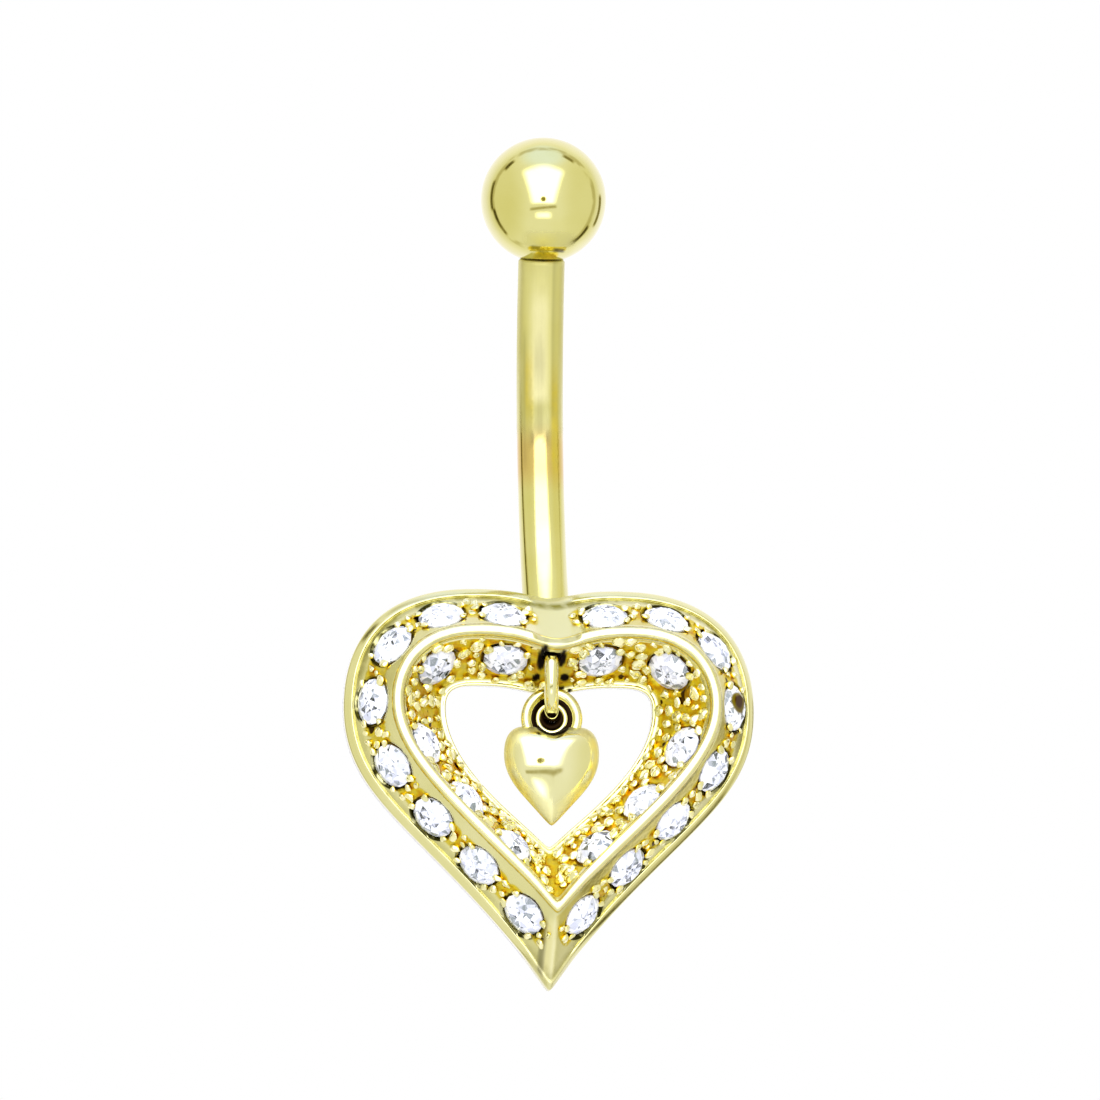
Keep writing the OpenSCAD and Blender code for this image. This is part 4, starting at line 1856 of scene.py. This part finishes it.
@dataclass
class Brilliant:
    """Round brilliant cut of diameter 1, with the star that shows through its table."""

    table: float = 0.56
    crown: float = 0.15
    girdle: float = 0.04
    pavilion: float = 0.42
    inner_star: float = 0.2
    outer_star: float = 0.37
    star_rise: float = 0.62
    star_w: float = 0.42
    keel_fall: float = 0.26
    keel_w: float = 0.76
    crown_reach: float = 0.93
    under_reach: float = 0.95

    def build(self) -> Object:
        """Makes the pattern stone, which the node tree copies.

        Returns:
            The stone, one metre across, with a number and a reach on each face.
        """
        r = 0.5
        half_girdle = self.girdle / 2
        table_z = half_girdle + self.crown
        star_z = half_girdle + self.star_rise * self.crown
        star_r = r * (self.table + self.star_w * (1 - self.table))
        keel_z = -half_girdle - self.keel_fall * self.pavilion
        culet_z = -half_girdle - self.pavilion
        points: list[tuple[float, float, float]] = [(0, 0, table_z)]

        def ring(radius: float, height: float, count: int, turned: float) -> Callable[[int], int]:
            """Adds a ring of points.

            Args:
                radius: Its radius.
                height: Its height.
                count: Number of points.
                turned: Turn of the first point, in steps.

            Returns:
                What gives the number of each point.
            """
            first = len(points)
            for i in range(count):
                a = 2 * math.pi * (i + turned) / count
                points.append((radius * math.cos(a), radius * math.sin(a), height))
            return lambda i: first + i % count

        a_ring = ring(self.inner_star * r, table_z, 8, 0.5)
        b_ring = ring(self.outer_star * r, table_z, 8, 0.0)
        t_ring = ring(self.table * r, table_z, 8, 0.0)
        s_ring = ring(star_r, star_z, 8, 0.5)
        u_ring = ring(r, half_girdle, 16, 0.0)
        l_ring = ring(r, -half_girdle, 16, 0.0)
        k_ring = ring(self.keel_w * r, keel_z, 8, 0.5)
        culet = len(points)
        points.append((0, 0, culet_z))
        faces: list[tuple[int, ...]] = []
        reach: list[float] = []
        for i in range(8):
            g = 2 * i
            table_part = [
                (0, a_ring(i), a_ring(i + 1)),
                (a_ring(i - 1), b_ring(i), a_ring(i)),
                (a_ring(i), b_ring(i), t_ring(i)),
                (a_ring(i), t_ring(i), t_ring(i + 1)),
                (a_ring(i), t_ring(i + 1), b_ring(i + 1)),
            ]
            crown_part = [
                (t_ring(i), s_ring(i), t_ring(i + 1)),
                (t_ring(i), s_ring(i - 1), u_ring(g), s_ring(i)),
                (s_ring(i), u_ring(g), u_ring(g + 1)),
                (s_ring(i), u_ring(g + 1), u_ring(g + 2)),
                (u_ring(g), l_ring(g), l_ring(g + 1), u_ring(g + 1)),
                (u_ring(g + 1), l_ring(g + 1), l_ring(g + 2), u_ring(g + 2)),
            ]
            under_part = [
                (l_ring(g), k_ring(i), l_ring(g + 1)),
                (l_ring(g + 1), k_ring(i), l_ring(g + 2)),
                (k_ring(i), l_ring(g), culet),
                (k_ring(i), culet, l_ring(g + 2)),
            ]
            faces += table_part + crown_part + under_part
            reach += [1.0] * len(table_part)
            reach += [self.crown_reach] * len(crown_part) + [self.under_reach] * len(under_part)
        mesh = bpy.data.meshes.new("brilliant")
        mesh.from_pydata(points, [], faces)
        add_values(mesh, "facet", "FLOAT", "FACE", [(n * 0.137) % 1.0 for n in range(len(faces))])
        add_values(mesh, "reach", "FLOAT", "FACE", reach)
        made = add_object("brilliant", mesh)
        turn_outwards(made)
        return made


@dataclass
class Stones:
    """The round stones of both bands."""

    plan: HeartPlan
    finish: Material
    seed: int = 5
    blot_node: str = "outer_stone_right_4"
    blot_x: float = 6.36
    blot_z: float = -9.45
    blot_halves_x: tuple[float, float] = (0.46, 0.3)
    blot_halves_z: tuple[float, float] = (0.62, 0.39)

    def build(self) -> dict[str, Object]:
        """Makes one piece for each stone of the part.

        Returns:
            The pieces, by the name of the solid that each one replaces.
        """
        plan = self.plan
        pattern = Brilliant().build()
        tree = stone_tree(self.finish)
        draw = random.Random(self.seed)
        made = {}
        for band, spots, diameter in (
            ("outer", plan.outer_spots, plan.outer_d),
            ("inner", plan.inner_spots, plan.inner_d),
        ):
            for left in (False, True):
                for number, spot in enumerate(spots, 1):
                    frame = plan.spot_frame(spot.station, spot.share, left)
                    turn = draw.uniform(0, math.pi / 4)
                    along = frame.to_3x3() @ Vector((math.cos(turn), math.sin(turn), 0))
                    node = f"{band}_stone_{'left' if left else 'right'}_{number}"
                    carrier = carrier_object(
                        f"{node}_cut",
                        [frame @ Vector((0, 0, -plan.sink))],
                        {"axis": [Vector(frame.col[2][:3])], "along": [along], "stone": [draw.random()]},
                    )
                    values = {"Stone": pattern, "Stone Scale": diameter * MM}
                    carrier.data = plain_mesh_from(carrier, tree, values)
                    made[node] = carrier
                    if band == "outer":
                        self._rim_shadow(carrier, frame, -1 if left else 1)
        bpy.data.objects.remove(pattern)
        blotted = made[self.blot_node]
        fine = bmesh.new()
        fine.from_mesh(blotted.data)
        bmesh.ops.triangulate(fine, faces=fine.faces)
        bmesh.ops.subdivide_edges(fine, edges=fine.edges, cuts=6, use_grid_fill=True)
        fine.to_mesh(blotted.data)
        fine.free()
        paint(blotted, lambda places: {"blot": self._blotted(places)})
        return made

    def _blotted(self, places: np.ndarray) -> np.ndarray:
        """Uneven round blot, wider to the left and downwards.

        Args:
            places: Points in millimetres, one a row.

        Returns:
            The blot's strength, from 0 to 1.
        """
        across, up = places[:, 0] - self.blot_x, places[:, 2] - self.blot_z
        across = across / np.where(across < 0, *self.blot_halves_x)
        up = up / np.where(up < 0, *self.blot_halves_z)
        return smooth_fall(0.0, 1.0, np.hypot(across, up))

    def _rim_shadow(self, stone: Object, frame: Matrix, sign: int) -> None:
        """Paints a greyer shadow on the border of a stone, on its side towards the rim.

        Args:
            stone: The stone.
            frame: Its frame.
            sign: 1 if the frame's Y points to the rim, -1 if it points to the ridge.
        """
        middle, rim = np.array(frame.translation), sign * np.array(frame.col[1][:3])
        size = self.plan.outer_d
        paint(stone, lambda p: {"shadow": smooth_step(0.3, 1.0, (p - middle) @ rim * 2 / size)})


# Link and drop


@dataclass
class Link:
    """Round wire link through the heart."""

    axis: PostAxis
    plan: LinkPlan
    gold: Material

    def build(self) -> list[Object]:
        """Makes the link.

        Returns:
            The pieces.
        """
        path = self.plan.path(self.axis, 128)
        radii = [self.plan.wire / 2] * len(path)
        return [tube("round_link", path, radii, self.gold, closed=True, sides=28)]


@dataclass
class Drop:
    """Small puffed heart with the collared loop that it hangs by."""

    pivot: Vector
    wire: float
    gold: Material
    width: float = 3.26
    height: float = 3.38
    thickness: float = 1.5
    loop_d: float = 2.13
    loop_wire: float = 0.38
    collar_wire: float = 0.18
    hole_d: float = 0.76
    shade_web: float = 0.1
    gap: float = 0.03
    loop_rise: float = 1.34
    rings: int = 20
    apex: float = 0.345
    taper: float = 0.45
    oval_w: float = 0.51
    oval_up: float = 0.36
    oval_down: float = 0.42
    edge_power: float = 2.5
    bulge: float = 1.1
    plate_sides: int = 96
    stations: np.ndarray = field(default_factory=lambda: split_stations(14, 34, 50))

    @property
    def loop_z(self) -> float:
        """Height of the loop's centre above the pivot."""
        return (self.wire - self.hole_d) / 2 + self.gap

    @property
    def outline(self) -> HeartOutline:
        """The small heart's outline.

        Returns:
            The outline, with heights above the pivot.
        """
        top = self.loop_z + self.loop_d / 2 - self.loop_rise
        return HeartOutline(
            half_w=self.width / 2, widest=top - 0.28 * self.height, lobe_x=0.27 * self.width, top=top,
            notch=top - 0.1 * self.height, tip=top - self.height, top_round=0.72, side_round=0.6,
            side_reach=0.4, tip_reach=0.5, tip_angle=44, tip_radius=0.12, notch_radius=0.1,
        )

    def build(self) -> list[Object]:
        """Makes the drop.

        Returns:
            The pieces.
        """
        return [join([self._heart(), *self._loop()])]

    def _heart(self) -> Object:
        """Makes the puffed heart; its level lines are hearts at the edge and ovals near the middle.

        Returns:
            The heart.
        """
        right = self.outline.points(self.stations)
        right[0, 0] = right[-1, 0] = 0.0
        whole = np.concatenate([right, right[-2:0:-1] * np.array([-1, 1])])
        middle = np.array([0.0, self.outline.top - self.apex * self.height])
        spokes = whole - middle
        oval_h = np.where(spokes[:, 1] > 0, self.oval_up, self.oval_down)
        away = np.arctan2(spokes[:, 1] / oval_h, spokes[:, 0] / self.oval_w)
        oval = np.stack([self.oval_w * np.cos(away), oval_h * np.sin(away)], axis=1) * self.height
        points: list[Vector] = []
        levels = np.linspace(-math.pi / 2, math.pi / 2, 2 * self.rings + 1)
        shares = np.maximum(np.cos(levels), 0.0)
        for level, share in zip(levels, shares):
            edge = share**self.edge_power
            swell = math.copysign(abs(math.sin(level)) ** self.bulge, level) * self.thickness / 2
            for x, z in middle + share * ((1 - edge) * oval + edge * spokes):
                thin = self.taper * ((self.outline.top - z) / self.height - self.apex)
                points.append(self.pivot + Vector((x, swell * (1 - thin), z)))
        heart = mesh_object("drop_heart", points, ring_faces(len(levels), len(whole), False), self.gold)
        # Satin roughness towards the edge, and a painted shade tone right at the heart's rim.
        for name, low, high, most in (("satin", 0.72, 0.9, 1.0), ("recess", 0.97, 1.0, 0.2)):
            values = np.repeat(most * smooth_step(low, high, shares), len(whole))
            add_values(heart.data, name, "FLOAT", "POINT", values.tolist())
        turn_outwards(heart)
        paint(heart, lambda places: {"shade": self._notch_shade(places)})
        return heart

    def _notch_shade(self, places: np.ndarray) -> np.ndarray:
        """Shade of the loop on the heart's notch, from 0 to 1."""
        far = np.hypot(places[:, 0] - self.pivot.x, places[:, 2] - self.pivot.z - self.loop_z)
        return smooth_fall(0.64, 0.7, far)

    def _loop(self) -> list[Object]:
        """Makes the loop: its outer ring, the collar, and two black plates of painted shade, a web between
        them and a lip in its hole.

        Returns:
            The parts of the loop.
        """
        centre = self.pivot + self.loop_z * UP
        loop_r = (self.loop_d - self.loop_wire) / 2
        collar_r = (self.hole_d + self.collar_wire) / 2
        path = circle_path(centre, loop_r, RIGHT, UP, 128)
        ring = tube("loop_ring", path, [self.loop_wire / 2] * len(path), self.gold, closed=True)
        path = circle_path(centre, collar_r, RIGHT, UP, 96)
        radii = [self.collar_wire / 2] * len(path)
        collar = tube("loop_collar", path, radii, self.gold, closed=True, sides=20)
        shade_web = self._shade_plate("loop_web", centre, loop_r, centre, collar_r)
        lip = self._shade_plate("loop_lip", centre, collar_r, self.pivot, self.wire / 2 + 0.1 * self.gap)
        return [ring, collar, shade_web, lip]

    def _shade_plate(
        self, name: str, centre: Vector, radius: float, hole_centre: Vector, hole_radius: float
    ) -> Object:
        """Makes a thin round plate, painted black to stand in for shade, with a round hole.

        Args:
            name: Name of the plate.
            centre: Centre of its edge.
            radius: Radius of its edge.
            hole_centre: Centre of its hole.
            hole_radius: Radius of its hole.

        Returns:
            The plate.
        """
        hole, edge, depth = (hole_centre, hole_radius), (centre, radius), self.shade_web / 2 * BACK
        points: list[Vector] = []
        for (middle, size), shift in ((hole, -depth), (edge, -depth), (edge, depth), (hole, depth)):
            points += circle_path(middle + shift, size, RIGHT, UP, self.plate_sides)
        plate = mesh_object(name, points, ring_faces(4, self.plate_sides, True), self.gold)
        turn_outwards(plate)
        paint(plate, lambda places: {"shade": np.ones(len(places))})
        return plate


# Studio


@dataclass(frozen=True)
class PhotoView:
    """The photograph's view of the ring: a long lens a little below and to the left."""

    azimuth: float = -7.8
    elevation: float = -8.0
    frame_w: float = 37.84
    distance: float = 350.0
    aim_right: float = 0.344
    aim_up: float = -3.87
    sensor: float = 36.0

    def axes(self) -> tuple[Vector, Vector, Vector]:
        """Directions of the picture.

        Returns:
            Unit vectors to the right of the picture, up in it and towards the camera.
        """
        a, e = math.radians(self.azimuth), math.radians(self.elevation)
        back = Vector((math.sin(a) * math.cos(e), -math.cos(a) * math.cos(e), math.sin(e)))
        right = Vector((math.cos(a), math.sin(a), 0))
        return right, back.cross(right), back

    def place(self) -> None:
        """Makes the camera."""
        right, up, back = self.axes()
        lens = bpy.data.cameras.new("camera")
        lens.sensor_width = self.sensor
        lens.lens = self.sensor * self.distance / self.frame_w
        lens.clip_start, lens.clip_end = 0.01, 20.0
        camera = add_object("camera", lens)
        aim = right * self.aim_right + up * self.aim_up
        turn = Matrix((right, up, back)).transposed().to_4x4()
        camera.matrix_world = Matrix.Translation((aim + back * self.distance) * MM) @ turn
        bpy.context.scene.camera = camera
        bpy.context.scene.view_settings.view_transform = "Standard"


class Direction(NamedTuple):
    """A direction that light comes from, and its shares along the picture's three axes."""

    toward: Term
    right: Term
    up: Term
    front: Term


@dataclass(frozen=True)
class DarkArc:
    """A dark edge of the studio, seen as a short arc in the ball; angles are in degrees from the right."""

    start: float
    stop: float
    front: float
    strength: float


@dataclass(frozen=True)
class StudioLight:
    """Soft light all round, with a bright panel in front and dark edges beside it."""

    view: PhotoView = PhotoView()
    base: float = 1.05
    panel: float = 3.4
    side_tint: Colour = (1.0, 0.99, 0.84)
    middle_tint: Colour = (1.0, 1.01, 1.08)
    overhead_tint: Colour = (0.9, 1.03, 1.6)
    rear_tint: Colour = (1.0, 1.0, 1.25)
    dark_tint: Colour = (1.0, 0.86, 0.2)
    arcs: tuple[DarkArc, ...] = (
        DarkArc(127.0, 141.0, -0.16, 0.95),
        DarkArc(158.0, 190.0, -0.36, 0.75),
        DarkArc(190.0, 222.0, -0.26, 0.75),
        DarkArc(52.0, 66.0, -0.14, 0.8),
        DarkArc(-26.0, 6.0, -0.6, 0.85),
        DarkArc(-58.0, -30.0, -0.36, 0.95),
    )

    def place(self) -> None:
        """Makes the world's light."""
        world = bpy.data.worlds.new("studio")
        world.use_nodes = True
        world.node_tree.nodes.clear()
        bpy.context.scene.world = world
        graph = Graph(world.node_tree)
        toward = graph.term("ShaderNodeTexCoord", output="Generated")
        shares = (self._along(graph, toward, axis) for axis in self.view.axes())
        light = self._field(graph, Direction(toward, *shares))
        seen = graph.term("ShaderNodeLightPath", output="Is Camera Ray")
        colour = blend(graph, seen, light, (1.0, 1.0, 1.0))
        background = graph.node("ShaderNodeBackground", None, {"Color": colour, "Strength": 1.0})
        graph.node("ShaderNodeOutputWorld", None, {"Surface": background.outputs[0]})

    @staticmethod
    def _along(graph: Graph, toward: Term, axis: Vector) -> Term:
        """Share of a direction along an axis."""
        sockets = {0: toward, 1: tuple(axis)}
        return graph.term("ShaderNodeVectorMath", {"operation": "DOT_PRODUCT"}, sockets, output="Value")

    def _dark(self, graph: Graph, way: Direction) -> Term:
        """How dark each direction is, from 0 to 1: a faint broken ring with stronger arcs.

        Args:
            graph: The world's graph.
            way: The direction.

        Returns:
            The darkness.
        """
        toward, right, up, front = way
        turn = graph.term("ShaderNodeMath", {"operation": "ARCTAN2"}, {0: up, 1: right}) * (180 / math.pi)
        clouds = noise(graph, toward, 3.2, 1.0)
        dark = front.within(-0.36, -0.2, 0.04) * clouds.step(0.36, 0.56) * 0.35
        for arc in self.arcs:
            for lap in (0.0, -360.0) if arc.stop > 180 else (0.0,):
                along = turn.within(arc.start + lap, arc.stop + lap, 3.0)
                across = front.within(arc.front - 0.06, arc.front + 0.06, 0.03)
                dark = dark + along * across * arc.strength
        return dark

    def _field(self, graph: Graph, way: Direction) -> Term:
        """Light from each direction.

        Args:
            graph: The world's graph.
            way: The direction.

        Returns:
            The light's colour.
        """
        _, right, up, front = way
        ahead = front.step(-0.05, 0.05)
        wide = 1 - (abs(right) - (0.36 + 0.22 * up)).step(-0.1, 0.1)
        top = 1 - (up + 0.55 * right * right).step(0.82, 0.95)
        panel = up.step(-0.17, -0.08) * top * wide * ahead
        lens = 1 - (1 - front).step(0.0022, 0.0045)
        tilted = up - 0.1 * right
        low_card = tilted.within(-0.31, -0.23, 0.025) * (1 - abs(right).step(0.36, 0.44)) * ahead
        low_spot = up.within(-0.56, -0.42, 0.05) * (1 - abs(right).step(0.12, 0.3)) * ahead
        dark = self._dark(graph, way)
        side = abs(right).step(0.4, 0.9)
        overhead = up.step(0.82, 0.98)
        rear = 1 - front.step(-0.7, -0.34)
        shade = self.base - 0.12 * side + 0.1 * overhead + 0.14 * rear
        shade = shade + (self.panel - self.base) * panel + 1.6 * low_spot
        tint = blend(graph, side, self.middle_tint, self.side_tint)
        tint = blend(graph, overhead, tint, self.overhead_tint)
        tint = blend(graph, rear, tint, self.rear_tint)
        night = graph.term("ShaderNodeClamp", None, {0: dark + 0.55 * low_card + lens})
        tint = blend(graph, night, tint, self.dark_tint)
        level = shade * (1 - 0.9 * night)
        grey = graph.term("ShaderNodeCombineXYZ", None, {0: level, 1: level, 2: level})
        return graph.term("ShaderNodeVectorMath", {"operation": "MULTIPLY"}, {0: tint, 1: grey})


@dataclass(frozen=True)
class Floor:
    """Pale round floor well below the ring."""

    radius: float = 600.0
    level: float = -75.0
    sides: int = 96

    def place(self) -> None:
        """Makes the floor."""
        edge = circle_path(self.level * UP, self.radius, RIGHT, BACK, self.sides)
        floor = mesh_object("floor", edge, [range(self.sides)], PaleFloor().material(), smooth=False)
        floor.visible_glossy = False


# The ring


def settle(piece: Object, body: Body, slot: Slot, *nodes: str) -> None:
    """Gives a piece its body and hides the solids that it stands for.

    Args:
        piece: The piece.
        body: The body that it rides on.
        slot: Its material slot; not used.
        nodes: The solids that it replaces.
    """
    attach(piece, body.value)
    if nodes:
        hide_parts(*nodes)
    LOG.info("%s rides on %s, %d faces", piece.name, body.value, len(piece.data.polygons))


def main() -> None:
    """Builds the ring, its studio and its camera."""
    logging.basicConfig(level=logging.INFO, format="%(message)s")
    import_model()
    gold = PolishedGold("polished_gold").material()
    pale_gold = PolishedGold("pale_gold", body=(0.77, 0.73, 0.35), pale=(0.84, 0.8, 0.46)).material()
    crystal = CutStone("cut_stone").material()
    axis = PostAxis()
    plan = HeartPlan(axis)
    link_plan = LinkPlan()

    PhotoView().place()
    StudioLight().place()
    Floor().place()

    for shell in HeartShell(plan, pale_gold).build():
        settle(shell, Body.FRAME, Slot.GOLD, "heart_frame")
    for piece in Post(axis, gold).build():
        settle(piece, Body.FRAME, Slot.GOLD)
    for piece in Beads(plan, pale_gold).build():
        settle(piece, Body.FRAME, Slot.GOLD)
    for node, piece in Stones(plan, crystal).build().items():
        settle(piece, Body.FRAME, Slot.STONE, node)
    for piece in Link(axis, link_plan, pale_gold).build():
        settle(piece, Body.FRAME, Slot.GOLD, "link")
    for piece in Ball(axis, gold).build():
        settle(piece, Body.BALL, Slot.GOLD, "ball")
    for piece in Drop(link_plan.pivot(axis), link_plan.wire, pale_gold).build():
        settle(piece, Body.DROP, Slot.GOLD, "drop")


if __name__ == "__main__":
    main()
